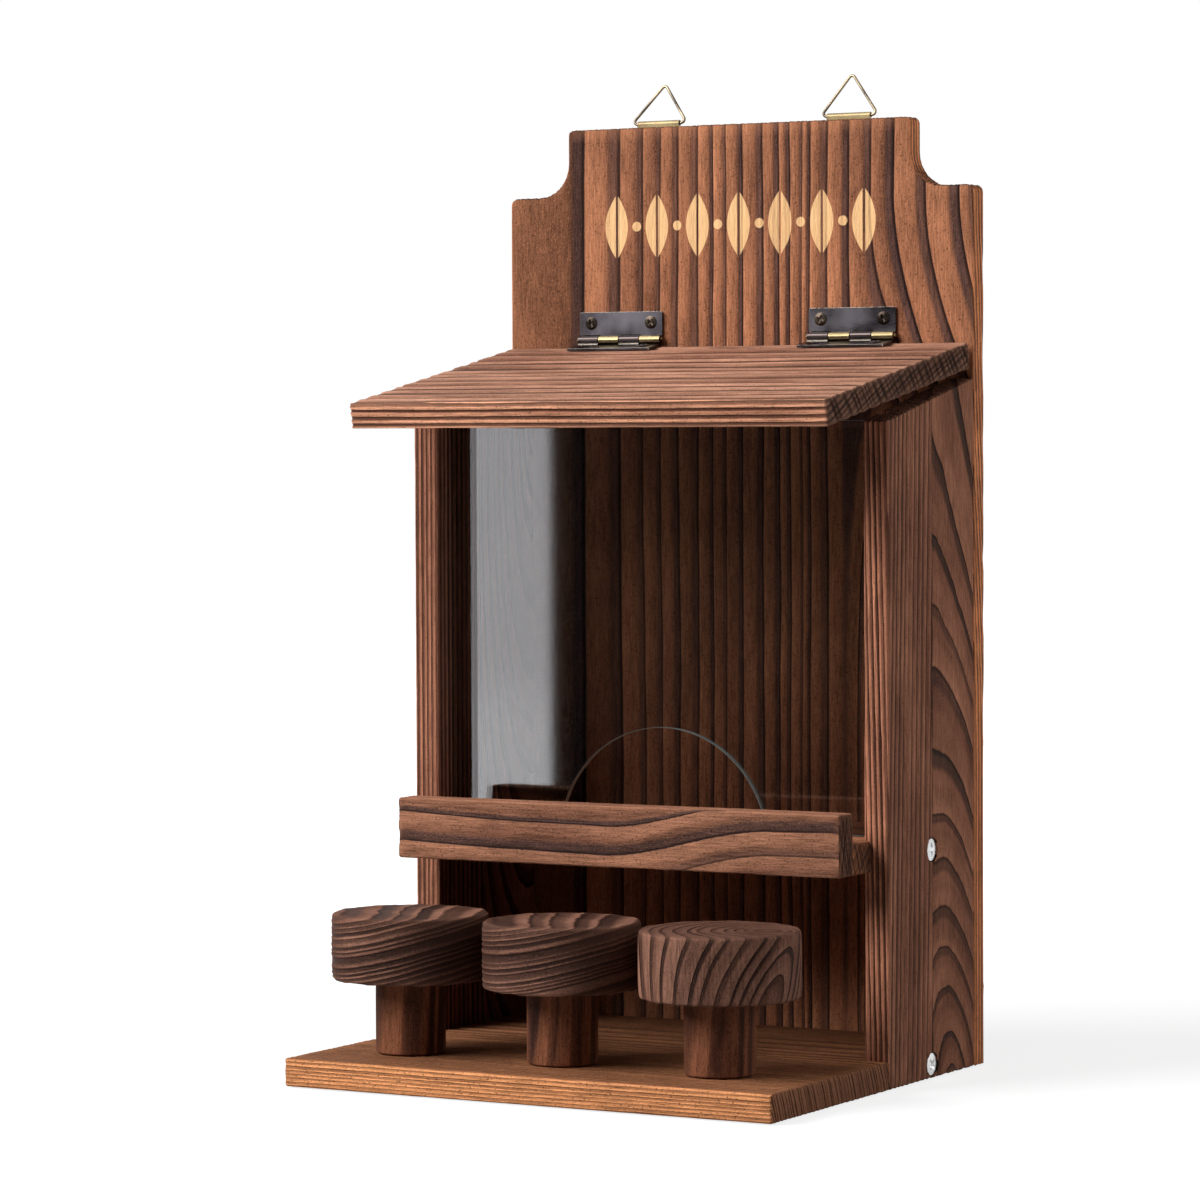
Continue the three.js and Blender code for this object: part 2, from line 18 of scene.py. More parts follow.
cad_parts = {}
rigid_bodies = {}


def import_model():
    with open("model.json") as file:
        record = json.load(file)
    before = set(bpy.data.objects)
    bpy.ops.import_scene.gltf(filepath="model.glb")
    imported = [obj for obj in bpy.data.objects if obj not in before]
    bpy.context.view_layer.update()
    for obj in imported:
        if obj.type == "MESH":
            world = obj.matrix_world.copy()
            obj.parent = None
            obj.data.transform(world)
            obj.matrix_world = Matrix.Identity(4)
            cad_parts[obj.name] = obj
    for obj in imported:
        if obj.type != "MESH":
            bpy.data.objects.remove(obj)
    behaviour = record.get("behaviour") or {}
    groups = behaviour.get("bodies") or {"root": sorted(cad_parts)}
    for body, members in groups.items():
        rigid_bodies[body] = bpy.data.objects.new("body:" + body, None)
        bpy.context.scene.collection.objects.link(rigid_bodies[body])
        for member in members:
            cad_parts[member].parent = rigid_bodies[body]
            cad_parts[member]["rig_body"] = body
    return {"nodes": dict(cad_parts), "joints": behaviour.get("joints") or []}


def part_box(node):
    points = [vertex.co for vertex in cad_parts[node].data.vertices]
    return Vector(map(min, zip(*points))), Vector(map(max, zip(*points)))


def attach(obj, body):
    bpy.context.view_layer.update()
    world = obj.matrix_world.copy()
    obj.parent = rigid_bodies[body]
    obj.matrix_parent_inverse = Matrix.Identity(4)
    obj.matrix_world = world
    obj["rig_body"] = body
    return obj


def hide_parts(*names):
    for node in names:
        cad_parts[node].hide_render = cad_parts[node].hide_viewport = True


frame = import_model()
nodes = frame["nodes"]
body_of_node = {node: piece["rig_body"] for node, piece in nodes.items()}
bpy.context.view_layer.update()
mm = 0.001
x_axis, y_axis, z_axis = (1.0, 0.0, 0.0), (0.0, 1.0, 0.0), (0.0, 0.0, 1.0)
to_front, to_left, to_floor = (0.0, -1.0, 0.0), (-1.0, 0.0, 0.0), (0.0, 0.0, -1.0)

# %% [markdown]
# ## Small tools
# Some jobs come back for every piece: putting an object in the scene, reading a mesh as rows
# of numbers, marking its points or faces, and reworking its faces.


# %% Objects and meshes
def add_object(name, data):
    made = bpy.data.objects.new(name, data)
    bpy.context.scene.collection.objects.link(made)
    return made


def new_mesh(name, points, edges=(), faces=()):
    mesh = bpy.data.meshes.new(name)
    mesh.from_pydata(points, edges, faces)
    return mesh


def rows_of(items, name, kind=float):
    """Three numbers of each point or face of a mesh, as rows."""
    values = np.empty(len(items) * 3, kind)
    items.foreach_get(name, values)
    return values.reshape(-1, 3)


def mark(mesh, name, where, values):
    """Gives each point or each face of a mesh a number of its own."""
    marks = mesh.attributes.new(name, "FLOAT", where)
    marks.data.foreach_set("value", np.array(values, np.float32))


def reworked(mesh, *jobs):
    shape = bmesh.new()
    shape.from_mesh(mesh)
    for job in jobs:
        job(shape)
    shape.to_mesh(mesh)
    shape.free()
    return mesh


def merge_doubles(shape):
    bmesh.ops.remove_doubles(shape, verts=shape.verts, dist=1e-6)


def turn_outwards(shape):
    bmesh.ops.recalc_face_normals(shape, faces=shape.faces)


def evaluated_mesh(piece):
    """The mesh of an object as its modifier leaves it."""
    bpy.context.view_layer.update()
    return bpy.data.meshes.new_from_object(piece.evaluated_get(bpy.context.evaluated_depsgraph_get()))


def joint_place(name):
    return next(joint for joint in frame["joints"] if joint["name"] == name)["pos_m"]


print("tools for objects and meshes are ready")

# %% [markdown]
# ## Writing node trees as sums
# Wood grain is arithmetic: distances from the heart of the tree, cut into rings. Written out
# as nodes, that is dozens of small boxes. A wire is one output of a node, and it knows how to
# be added and multiplied, so the arithmetic reads as it would on paper. The same words build
# a material tree and a geometry tree, which lets colour and relief share one pattern.


# %% A wire and a tree
class Wire:
    def __init__(self, tree, socket):
        self.tree = tree
        self.socket = socket

    def math(self, operation, *others):
        return self.tree.node("ShaderNodeMath", [self, *others], operation=operation)

    def __add__(self, other):
        return self.math("ADD", other)

    def __sub__(self, other):
        return self.math("SUBTRACT", other)

    def __rsub__(self, other):
        return self.tree.number(other).math("SUBTRACT", self)

    def __mul__(self, other):
        return self.math("MULTIPLY", other)

    __radd__, __rmul__ = __add__, __mul__

    def __truediv__(self, other):
        return self.math("DIVIDE", other)

    def __neg__(self):
        return self.math("MULTIPLY", -1)

    def __abs__(self):
        return self.math("ABSOLUTE")

    def __pow__(self, other):
        return self.math("POWER", other)

    def step_up(self, start, end):
        """0 below start, 1 above end, and a smooth rise between them."""
        sockets = {"Value": self, "From Min": start, "From Max": end}
        return self.tree.node("ShaderNodeMapRange", sockets, interpolation_type="SMOOTHSTEP")


class Tree:
    def __init__(self, node_tree):
        self.node_tree = node_tree

    def node(self, kind, sockets=None, output=0, **settings):
        """A node with its settings first, then the values or wires of its sockets."""
        made = self.node_tree.nodes.new(kind)
        for name, value in settings.items():
            if name == "points":
                self.set_points(made.mapping, value)
            else:
                setattr(made, name, value)
        given = sockets.items() if isinstance(sockets, dict) else enumerate(sockets or [])
        for key, value in given:
            if isinstance(value, Wire):
                self.node_tree.links.new(value.socket, made.inputs[key])
            else:
                made.inputs[key].default_value = value
        return Wire(self, made.outputs[output])

    @staticmethod
    def set_points(mapping, points):
        curve = mapping.curves[0]
        while len(curve.points) < len(points):
            curve.points.new(0.5, 0.5)
        for point, place in zip(curve.points, points):
            point.location = place
            point.handle_type = "AUTO_CLAMPED"
        mapping.update()

    def number(self, value):
        return self.node("ShaderNodeMath", [value, 0.0], operation="ADD")

    def mark(self, name):
        """A number that the mesh carries on its points or faces."""
        return self.node("ShaderNodeAttribute", output="Fac", attribute_name=name)

    def show(self, shader, kind="ShaderNodeOutputMaterial"):
        """Ends the tree of a material, or of the world, with a shader."""
        end = self.node_tree.nodes.new(kind)
        self.node_tree.links.new(shader.socket, end.inputs["Surface"])

    def vector(self, x, y, z):
        return self.node("ShaderNodeCombineXYZ", [x, y, z])

    def vector_math(self, operation, *values, output="Vector"):
        return self.node("ShaderNodeVectorMath", values, output, operation=operation)

    def along(self, place, direction):
        """How far a place lies along a direction."""
        return self.vector_math("DOT_PRODUCT", place, direction, output="Value")

    def noise(self, place, scale, detail=2.0, roughness=0.5):
        sockets = {"Vector": place, "Scale": scale, "Detail": detail, "Roughness": roughness}
        return self.node("ShaderNodeTexNoise", sockets, noise_dimensions="3D", normalize=True)

    def noise_along(self, place, scale, detail=0.0):
        """Noise that changes with one number only."""
        sockets = {"W": place, "Scale": scale, "Detail": detail}
        return self.node("ShaderNodeTexNoise", sockets, noise_dimensions="1D", normalize=True)

    def chance(self, number):
        """A value from 0 to 1 drawn for each number, the same on each run."""
        return self.node("ShaderNodeTexWhiteNoise", {"W": number}, "Value", noise_dimensions="1D")

    def mix(self, share, first, second, how="MIX"):
        sockets = {0: share, 6: first, 7: second}
        return self.node("ShaderNodeMix", sockets, 2, data_type="RGBA", blend_type=how, clamp_factor=True)

    def bump(self, height, strength, distance):
        sockets = {"Strength": strength, "Distance": distance, "Height": height}
        return self.node("ShaderNodeBump", sockets)

    def place(self):
        return self.node("ShaderNodeTexCoord", output="Object")


def paint(red, green, blue):
    """A colour as a paint card gives it, 0 to 255, turned into the linear one that light uses."""
    def linear(value):
        share = value / 255
        return share / 12.92 if share <= 0.04045 else ((share + 0.055) / 1.055) ** 2.4
    return (linear(red), linear(green), linear(blue), 1.0)


print("white paint is", paint(255, 255, 255))

# %% [markdown]
# ## One log for every board
# A board is a flat cut through nested cylinders, one for each year of the tree. A cut beside
# the heart shows straight lines, a cut across a bow of the trunk shows arches, and the board's
# ends show arcs. So each board only states where its heart ran and how the trunk leaned, and
# all six faces follow. A picture of wood would not match round the corners. A log's own sizes
# are in millimetres, measured from the middle of its board.


# %% A board's log
@dataclass
class Log:
    middle: tuple
    along: tuple
    across: tuple
    outward: tuple
    heart: tuple
    lean: tuple = (0.0, 0.0)
    bow: tuple = (0.0, 0.0)
    sway: tuple = (0.0, 1.0, 0.0)
    ring: float = 4.0
    uneven: float = 0.5
    wander: float = 1.5
    band: float = 0.3
    edge: float = 0.06
    seed: float = 0.0
    line_shares: tuple = ()
    bend: tuple = (0.0, 1.0, 0.0, 0.0, 1.0)
    hatch: tuple = ()
    dull: tuple = (-1e4, 1.0)

    @property
    def axes(self):
        return np.array([self.across, self.outward, self.along])


def years_on_curve(tree, log, across, outward, along, wander):
    """Ring borders at chosen shares of the front's width. Further down, they bend aside."""
    bend_start, bend_end, size, straight_at, length = log.bend
    shift = (straight_at - along).step_up(0.0, length) * size
    place = across - shift * across.step_up(bend_start, bend_end) + wander
    count = len(log.line_shares) + 1
    points = [(0.0, 0.0)]
    points += [(share, (index + 1) / count) for index, share in enumerate(log.line_shares)]
    points.append((1.0, 1.0))
    width = 2 * log.heart[0]
    on_front = tree.node("ShaderNodeFloatCurve", {"Value": place / width + 0.5}, points=points) * count
    return on_front + (log.heart[1] - outward).math("MAXIMUM", 0.0) / log.ring


def years_round_heart(tree, log, across, outward, along, wander):
    sway_start, sway_end, sway_size = log.sway
    heart_across = along * log.lean[0] + along * along * log.bow[0] + log.heart[0]
    heart_across = heart_across + along.step_up(sway_start, sway_end) * sway_size
    heart_outward = along * log.lean[1] + along * along * log.bow[1] + log.heart[1]
    away = ((across - heart_across) ** 2.0 + (outward - heart_outward) ** 2.0) ** 0.5 + wander
    unevenness = tree.noise_along(away / (2.6 * log.ring) + log.seed, 1.0) - 0.5
    return away / log.ring + unevenness * (2 * log.uneven)


def ring_pattern(tree, position, log):
    """The year rings of a log at a position in metres."""
    offset = tree.vector_math("SUBTRACT", position, log.middle)
    ways = (log.across, log.outward, log.along)
    across, outward, along = (tree.along(offset, way) * 1000 for way in ways)
    wander = 0.0
    # A slow drift of the rings and a quick one: size across, length along, share of the wander.
    for size, length, reach in ((34, 150, 2.0), (7, 42, 0.8)):
        drift = tree.vector(across / size, outward / size + log.seed, along / length)
        wander = (tree.noise(drift, 1.0, 1.0) - 0.5) * (reach * log.wander) + wander
    years_at = years_on_curve if log.line_shares else years_round_heart
    years = years_at(tree, log, across, outward, along, wander)
    year = years.math("FLOOR")
    season = years - year
    share = (tree.chance(year + log.seed + 0.37) * 0.7 + 0.65) * log.band
    in_band = (season - 1) / share + 1
    closing = 1 - season.step_up(1 - log.edge, 1.0)
    strength = tree.chance(year * 1.7 + log.seed + 11.1)
    coarse = tree.noise(tree.vector(years * 2.6, outward * 0.3 + log.seed, along / 34), 1.0, 3.0, 0.6)
    saw_marks = tree.number(0.0)
    if log.hatch:
        slant = across * log.hatch[0] + outward * log.hatch[1]
        saw_marks = tree.noise_along(slant + wander * 0.4 + log.seed, 1.0, 1.0)
    dull_edge, dull_share = log.dull
    bright = across.step_up(dull_edge - 4, dull_edge)
    return {
        "band": in_band.step_up(-0.3, 0.15) * closing * (strength * 0.45 + 0.55),
        "line": in_band.step_up(0.5, 0.85) * closing * (strength * 0.3 + 0.7),
        "season": season,
        "tone": tree.chance(year * 2.3 + log.seed + 5.5),
        "coarse": coarse,
        "hatch": saw_marks.step_up(0.42, 0.62),
        "shade": bright * (1 - dull_share) + dull_share,
        "across": across,
        "outward": outward,
        "along": along,
    }


def one_log(log):
    return lambda tree, position: ring_pattern(tree, position, log)


def two_logs(first, second, joint):
    """Two strips from two logs, glued edge to edge; the joint is a place across the board."""
    def pattern(tree, position):
        near, far = ring_pattern(tree, position, first), ring_pattern(tree, position, second)
        side = near["across"].step_up(joint - 0.05, joint + 0.05)
        grain = {key: near[key] + (far[key] - near[key]) * side for key in near}
        seam = 1 - abs(near["across"] - joint).step_up(0.05, 0.3)
        grain["line"] = grain["line"].math("MAXIMUM", seam * 0.8)
        return grain
    return pattern


print("a log needs", len(Log.__dataclass_fields__), "facts")

# %% [markdown]
# ## The charred finish
# The real boards were scorched with a flame and brushed. The soft spring wood burnt brown and
# wore down to warm fibres, and the hard summer wood stayed as grey-violet bands that end in a
# thin black line; that grey-violet is partly char and partly painted sheen. Tiny pale and black
# specks sit in the fibres. The colour follows the rings, the speckle is fine noise, and a bump
# gives the fibres depth on top of the relief.


# %% Wood colours and the wood material
@dataclass
class Wood:
    """The paint cards of one finish, its speckle, and how much paler its long edges are, partly raw-cut wood
    and partly painted light.
    """
    light: tuple
    warm: tuple
    band: tuple
    line: tuple
    end: tuple
    speckle: float
    rim: tuple = (1.0, 1.0, 1.0)


def finish_material(material, tree, sockets):
    tree.show(tree.node("ShaderNodeBsdfPrincipled", sockets, "BSDF"))
    return material


def new_material(name):
    material = bpy.data.materials.new(name)
    material.use_nodes = True
    material.node_tree.nodes.clear()
    return material, Tree(material.node_tree)


def wood_material(name, pattern, wood, seed, motif=None):
    material, tree = new_material(name)
    cards = (wood.light, wood.warm, wood.band, wood.line, wood.end)
    light, warm, band, line, end = (paint(*card) for card in cards)
    grain = pattern(tree, tree.place())
    end_grain, rim, edge = (tree.mark(name) for name in ("end_grain", "rim", "edge"))
    across, outward, along = grain["across"], grain["outward"], grain["along"]

    # Noise from broad to fine, drawn out along the fibres.
    blotch = tree.noise(tree.vector(across / 22, outward / 22 + seed, along / 55), 1.0, 2.0)
    fibre = tree.noise(tree.vector(across * 1.5, outward * 1.5 + seed, along / 8), 1.0, 3.0, 0.65)
    grit = tree.noise(tree.vector(across * 1.8, outward * 1.8, along * 1.3), 1.0, 2.0, 0.65)

    # Soft wood first, then summer bands (their grey-violet partly painted sheen), paler narrow sides
    # (partly raw-cut wood, partly painted light), streaks and black lines.
    fresh = 1 - grain["season"].step_up(0.0, 0.75)
    tone = blotch.step_up(0.35, 0.65) * 0.35 + grain["tone"] * 0.25 + fresh * 0.45
    colour = tree.mix(tone, warm, light)
    # Summer bands: their grey-violet card is partly char and partly painted sheen.
    colour = tree.mix(grain["band"] * 0.92, colour, band)
    # Narrow sides are multiplied paler: partly raw-cut wood, partly painted light for the lit front edges.
    colour = tree.mix(rim, colour, tree.mix(1.0, colour, (*wood.rim, 1.0), "MULTIPLY"))
    streak = ((fibre - 0.5) * 1.7 + (grain["coarse"] - 0.5) * 1.2 + 1.0) * grain["shade"]
    grey_streak = tree.vector(streak, streak, streak)
    colour = tree.mix(1.0, colour, grey_streak, "MULTIPLY")
    colour = tree.mix(grain["line"] * 0.95, colour, line)

    # Specks, cut ends, paler edges (partly wear, partly a painted highlight) and the inlay lie on top.
    pale_specks = grit.step_up(0.56, 0.7) * (1 - grain["line"]) * (1 - grain["band"] * 0.6)
    colour = tree.mix(pale_specks * wood.speckle * 0.8, colour, light)
    colour = tree.mix((1 - grit.step_up(0.3, 0.44)) * wood.speckle, colour, line)
    colour = tree.mix(end_grain * 0.55, colour, end)
    colour = tree.mix(end_grain * grain["hatch"] * 0.85, colour, line)
    # Edges paler: partly wear, partly a painted highlight along them.
    colour = tree.mix(edge * 0.3, colour, light)
    if motif:
        inlay = tree.mix(0.3, pale_inlay, tree.mix(1.0, pale_inlay, grey_streak, "MULTIPLY"))
        colour = tree.mix(motif(tree, grain) * (0.96 - grain["line"] * 0.3), colour, inlay)

    height = (fibre - 0.5) * 0.9 + (grit - 0.5) * 0.7 - grain["line"] * 0.6
    roughness = 0.74 - grain["band"] * 0.2 + (grit - 0.5) * 0.2
    normal = tree.bump(height, 1.0, 0.3 * mm)
    sockets = {"Base Color": colour, "Roughness": roughness, "Normal": normal, "Specular IOR Level": 0.03}
    return finish_material(material, tree, sockets)


pale_inlay = paint(252, 204, 148)
# The rim gains brighten each board's narrow sides: partly raw-cut wood, partly painted light, which keeps the
# tops darker than the lit front edges.
board_wood = Wood(
    (190, 127, 92), (119, 77, 58), (84, 61, 57), (26, 17, 16), (66, 42, 33), 0.6, (2.1, 1.9, 1.6))
# The roof's pale, pinkish light card is partly painted sheen on its top.
roof_wood = Wood(
    (204, 152, 126), (116, 76, 60), (52, 29, 22), (16, 8, 6), (48, 31, 26), 0.6, (1.65, 1.5, 1.35))
side_wood = Wood((180, 124, 98), (114, 74, 59), (38, 22, 17), (12, 6, 4), (48, 30, 24), 0.4, (1.5, 1.4, 1.35))
# The left panel takes a darker copy of the side wood: painted shade.
painted_shade_left_side_wood = replace(side_wood, light=(156, 106, 84), warm=(98, 62, 50), rim=(1.5, 1.45, 1.4))
rail_wood = Wood((178, 124, 96), (122, 81, 64), (60, 47, 47), (27, 20, 21), (62, 41, 34), 0.7)
base_wood = Wood(
    (160, 108, 75), (122, 80, 56), (92, 58, 40), (42, 22, 15), (168, 116, 90), 0.8, (3.2, 3.2, 2.8))
seat_wood = Wood((150, 108, 90), (84, 54, 44), (34, 22, 20), (10, 6, 6), (62, 41, 34), 0.5)
leg_wood = Wood((148, 94, 67), (88, 53, 41), (46, 31, 28), (14, 8, 8), (50, 30, 24), 0.6)
print("wood finishes for boards, roof, sides, rail, base, seats and legs")

# %% [markdown]
# ## Relief cut into the boards
# Brushing leaves real furrows, about a quarter of a millimetre deep, and they show along the
# edges of the roof and the back. Bump alone keeps edges straight, so the boards get a finer
# mesh. Each CAD triangle is sliced by evenly spaced planes, close together across the grain
# and far apart along it, which keeps every hole and corner and adds points only where the
# furrows need them. A small geometry tree then sinks the points by the same ring pattern.


# %% Slice a CAD node into a fine mesh
def triangles_of(node):
    mesh = nodes[node].data
    mesh.calc_loop_triangles()
    return rows_of(mesh.vertices, "co")[rows_of(mesh.loop_triangles, "vertices", int)]


def slice_triangles(triangles, axis, step):
    """Cuts triangles by planes square to one axis, a step apart. Corners close to a plane go on it."""
    close, tiny, shortest_side = 3e-6, 1e-7, 1e-9
    levels = triangles[:, :, axis]
    nearest = np.round(levels / step) * step
    triangles = triangles.copy()
    triangles[:, :, axis] = np.where(np.abs(levels - nearest) < close, nearest, levels)
    order = np.argsort(triangles[:, :, axis], axis=1)
    low, middle, high = np.take_along_axis(triangles, order[:, :, None], axis=1).transpose(1, 0, 2)
    first = np.floor((low[:, axis] + tiny) / step)
    last = np.ceil((high[:, axis] - tiny) / step)
    counts = np.maximum(last - first, 1).astype(int)
    source = np.repeat(np.arange(len(triangles)), counts)
    strip = np.arange(len(source)) - np.repeat(np.cumsum(counts) - counts, counts) + first[source]
    low, middle, high = low[source], middle[source], high[source]
    start = np.maximum(strip * step, low[:, axis])
    end = np.minimum((strip + 1) * step, high[:, axis])

    def between(a, b, level):
        span = b[:, axis] - a[:, axis]
        share = np.where(span > 0, (level - a[:, axis]) / np.where(span > 0, span, 1), 0)
        return a + (b - a) * np.clip(share, 0, 1)[:, None]

    def short_side(level, under):
        return np.where(under[:, None], between(low, middle, level), between(middle, high, level))

    near_long, far_long = between(low, high, start), between(low, high, end)
    near_short = short_side(start, start < middle[:, axis])
    far_short = short_side(end, end <= middle[:, axis])
    flat = high[:, axis] <= low[:, axis]
    near_long[flat], far_long[flat] = low[flat], high[flat]
    near_short[flat], far_short[flat] = low[flat], middle[flat]
    passes = (middle[:, axis] > start) & (middle[:, axis] < end) & ~flat
    bend = np.where(passes[:, None], middle, near_short)
    made = np.concatenate([
        np.stack([near_long, far_long, far_short], 1),
        np.stack([near_long, far_short, bend], 1),
        np.stack([near_long, bend, near_short], 1),
    ])
    sides = np.abs(made - made[:, [1, 2, 0]]).max(axis=2)
    return made[sides.min(axis=1) > shortest_side]


def mesh_from_triangles(name, triangles):
    """A closed mesh of loose triangles, its doubled points merged and its faces turned outwards."""
    points = triangles.reshape(-1, 3)
    same_place = 1e-6
    keys = np.round(points / same_place).astype(np.int64)
    _, chosen, index = np.unique(keys, axis=0, return_index=True, return_inverse=True)
    faces = index.reshape(-1, 3)
    whole = (faces != faces[:, [1, 2, 0]]).all(axis=1)
    return reworked(new_mesh(name, points[chosen].tolist(), [], faces[whole].tolist()), turn_outwards)


def one_face_for_each_cell(mesh, steps):
    """Joins the coplanar triangles in each slicing cell; a chequered material keeps the cells apart."""
    inside = rows_of(mesh.polygons, "center") - rows_of(mesh.polygons, "normal") * 0.01 * mm
    chequer = np.floor(inside / np.array(steps)).sum(axis=1).astype(int) % 2
    for _ in range(2):
        mesh.materials.append(None)
    mesh.polygons.foreach_set("material_index", chequer)

    def join(shape):
        bmesh.ops.dissolve_limit(
            shape, angle_limit=math.radians(1), verts=shape.verts, edges=shape.edges, delimit={"MATERIAL"})
        for face in shape.faces:
            face.material_index = 0

    reworked(mesh, join)
    mesh.materials.clear()


def mark_grain(mesh, log):
    """Marks the faces that cut across the fibres, and those on a board's long narrow sides."""
    facing = np.abs(rows_of(mesh.polygons, "normal") @ log.axes.T)
    slanted, nearly_square = 0.3, 0.7
    for name, axis in (("end_grain", 2), ("rim", 0)):
        share = (facing[:, axis] - slanted) / (nearly_square - slanted)
        mark(mesh, name, "FACE", np.clip(share, 0, 1))


def mark_wear_and_highlight(mesh, to_edge, reach):
    """Marks how near each point is to an edge: the relief wears it, and the wood colour makes it paler,
    partly wear and partly a painted highlight.
    """
    mark(mesh, "edge", "POINT", np.exp(-to_edge / reach))


def to_board_edge(mesh, log):
    local = rows_of(mesh.vertices, "co") @ log.axes.T
    to_side = np.minimum(local - local.min(0), local.max(0) - local)
    return np.sort(to_side, axis=1)[:, 1]


def fine_mesh(node, log, steps):
    """The node's triangles sliced across, outwards and along the grain."""
    local = triangles_of(node) @ log.axes.T
    for axis in (2, 1, 0):
        local = slice_triangles(local, axis, steps[axis])
    mesh = mesh_from_triangles(node + "_wood", local)
    one_face_for_each_cell(mesh, steps)
    mesh.transform(Matrix(log.axes).transposed().to_4x4())
    if np.linalg.det(log.axes) < 0:
        mesh.flip_normals()
    return mesh


print("slicing is ready")


# %% A geometry tree for relief
class GeometryTree(Tree):
    def __init__(self, name):
        super().__init__(bpy.data.node_groups.new(name, "GeometryNodeTree"))
        self.identifiers = {}
        self.node_tree.interface.new_socket("Geometry", in_out="OUTPUT", socket_type="NodeSocketGeometry")
        self.source = self.node_tree.nodes.new("NodeGroupInput")
        self.sink = self.node_tree.nodes.new("NodeGroupOutput")

    def takes(self, **inputs):
        """Named inputs, each with its kind of socket; one wire for each."""
        for key, kind in inputs.items():
            name = key.replace("_", " ")
            made = self.node_tree.interface.new_socket(
                name, in_out="INPUT", socket_type="NodeSocket" + kind)
            self.identifiers[name] = made.identifier
            yield Wire(self, self.source.outputs[name])

    def mark(self, name, kind="FLOAT"):
        return self.node("GeometryNodeInputNamedAttribute", {"Name": name}, data_type=kind)

    def smooth(self, geometry):
        return self.node("GeometryNodeSetShadeSmooth", {"Geometry": geometry, "Shade Smooth": True})

    def end(self, geometry, material):
        realized = self.node("GeometryNodeRealizeInstances", {"Geometry": geometry})
        dressed = self.node("GeometryNodeSetMaterial", {"Geometry": realized, "Material": material})
        self.node_tree.links.new(dressed.socket, self.sink.inputs["Geometry"])


def grown(name, mesh, tree, values, sharp_from=55):
    """Runs a geometry tree on a mesh and returns its result as a plain object."""
    base = add_object(name + "_base", mesh)
    modifier = base.modifiers.new("grow", "NODES")
    modifier.node_group = tree.node_tree
    for key, value in values.items():
        modifier[tree.identifiers[key]] = value
    result = evaluated_mesh(base)
    base.modifiers.remove(modifier)
    bpy.data.objects.remove(base)
    result.name = name
    result.set_sharp_from_angle(angle=math.radians(sharp_from))
    return add_object(name, result)


def relief_tree(pattern):
    tree = GeometryTree("brushed relief")
    geometry, depth, wear, material = tree.takes(
        Geometry="Geometry", Furrow_depth="Float", Edge_wear="Float", Material="Material")
    position = tree.node("GeometryNodeInputPosition")
    normal = tree.node("GeometryNodeInputNormal")
    edge, end_grain = tree.mark("edge"), tree.mark("end_grain")
    grain = pattern(tree, position)
    nibble = tree.noise(position, 260.0, 2.0)
    highest = 0.42
    crown = ((grain["season"] - highest) ** 2.0) * 1.6
    sink = grain["band"].math("MAXIMUM", crown) * depth + (grain["coarse"] - 0.3) * depth * 0.4
    sink = sink + end_grain * grain["hatch"] * depth * 0.7
    sink = (sink + edge * wear * nibble * 1.4).math("MAXIMUM", 0.0)
    offset = tree.node("ShaderNodeVectorMath", {0: normal, "Scale": -sink}, operation="SCALE")
    moved = tree.node("GeometryNodeSetPosition", {"Geometry": geometry, "Offset": offset})
    tree.end(tree.smooth(moved), material)
    return tree


def finished(piece, node_names):
    """Puts a piece on the body of the nodes that it replaces."""
    body = body_of_node[node_names[0]]
    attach(piece, body)
    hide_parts(*node_names)
    print(piece.name, "on", body, "has", len(piece.data.polygons), "faces")


def furrowed(node, mesh, pattern, material, depth, wear):
    values = {"Furrow depth": depth, "Edge wear": wear, "Material": material}
    finished(grown(node + "_wood", mesh, relief_tree(pattern), values), [node])


board_steps = (0.5 * mm, 1.0 * mm, 4.5 * mm)
edge_wear, wear_and_highlight_reach = 0.25 * mm, 1.1 * mm


def grained_board(node, log, wood, steps=board_steps, depth=0.3 * mm, motif=None, pattern=None):
    pattern = pattern or one_log(log)
    material = wood_material(node + "_charred", pattern, wood, log.seed, motif)
    mesh = fine_mesh(node, log, steps)
    mark_grain(mesh, log)
    mark_wear_and_highlight(mesh, to_board_edge(mesh, log), wear_and_highlight_reach)
    furrowed(node, mesh, pattern, material, depth, edge_wear)


print("relief is ready")

# %% [markdown]
# ## The boards
# Each board's log is read off its faces: straight lines mean the heart ran far to one side,
# arches mean that it passed behind the board and the trunk bowed. The heart is given from the
# middle of the board, across it and out of its main face.


# %% Boards
def middle_of(node):
    low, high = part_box(node)
    return tuple((low + high) / 2)


def board_log(node, along, across, outward, hatch=(0.9, 0.35), **facts):
    return Log(middle_of(node), along, across, outward, hatch=hatch, **facts)


def slope_of(node):
    """The board's two directions square to X, along its largest face."""
    triangles = triangles_of(node)
    areas = np.cross(triangles[:, 1] - triangles[:, 0], triangles[:, 2] - triangles[:, 0])
    normal = areas[np.linalg.norm(areas, axis=1).argmax()]
    normal = normal / np.linalg.norm(normal) * np.sign(normal[2])
    return (0.0, float(normal[2]), float(-normal[1])), tuple(float(value) for value in normal)


def leaf_row(tree, grain):
    """A pale row of leaves and dots, let into the back board above the hinges."""
    pitch, half_width, half_height, dot = 16.0, 4.6, 11.5, 1.7
    rise = grain["along"] - 125.5
    sideways = grain["across"] - 1.0
    to_leaf = sideways.math("PINGPONG", pitch / 2)
    leaf = (1 - to_leaf / half_width - (rise / half_height) ** 2.0).step_up(0.0, 0.06)
    vein = to_leaf.step_up(0.3, 0.6)
    to_dot = ((pitch / 2 - to_leaf) ** 2.0 + rise ** 2.0) ** 0.5
    spot = 1 - to_dot.step_up(dot - 0.12, dot + 0.12)
    inside = 1 - abs(sideways).step_up(3.4 * pitch - 0.1, 3.4 * pitch)
    front = grain["outward"].step_up(2.0, 3.0)
    return (leaf * vein + spot) * inside * front


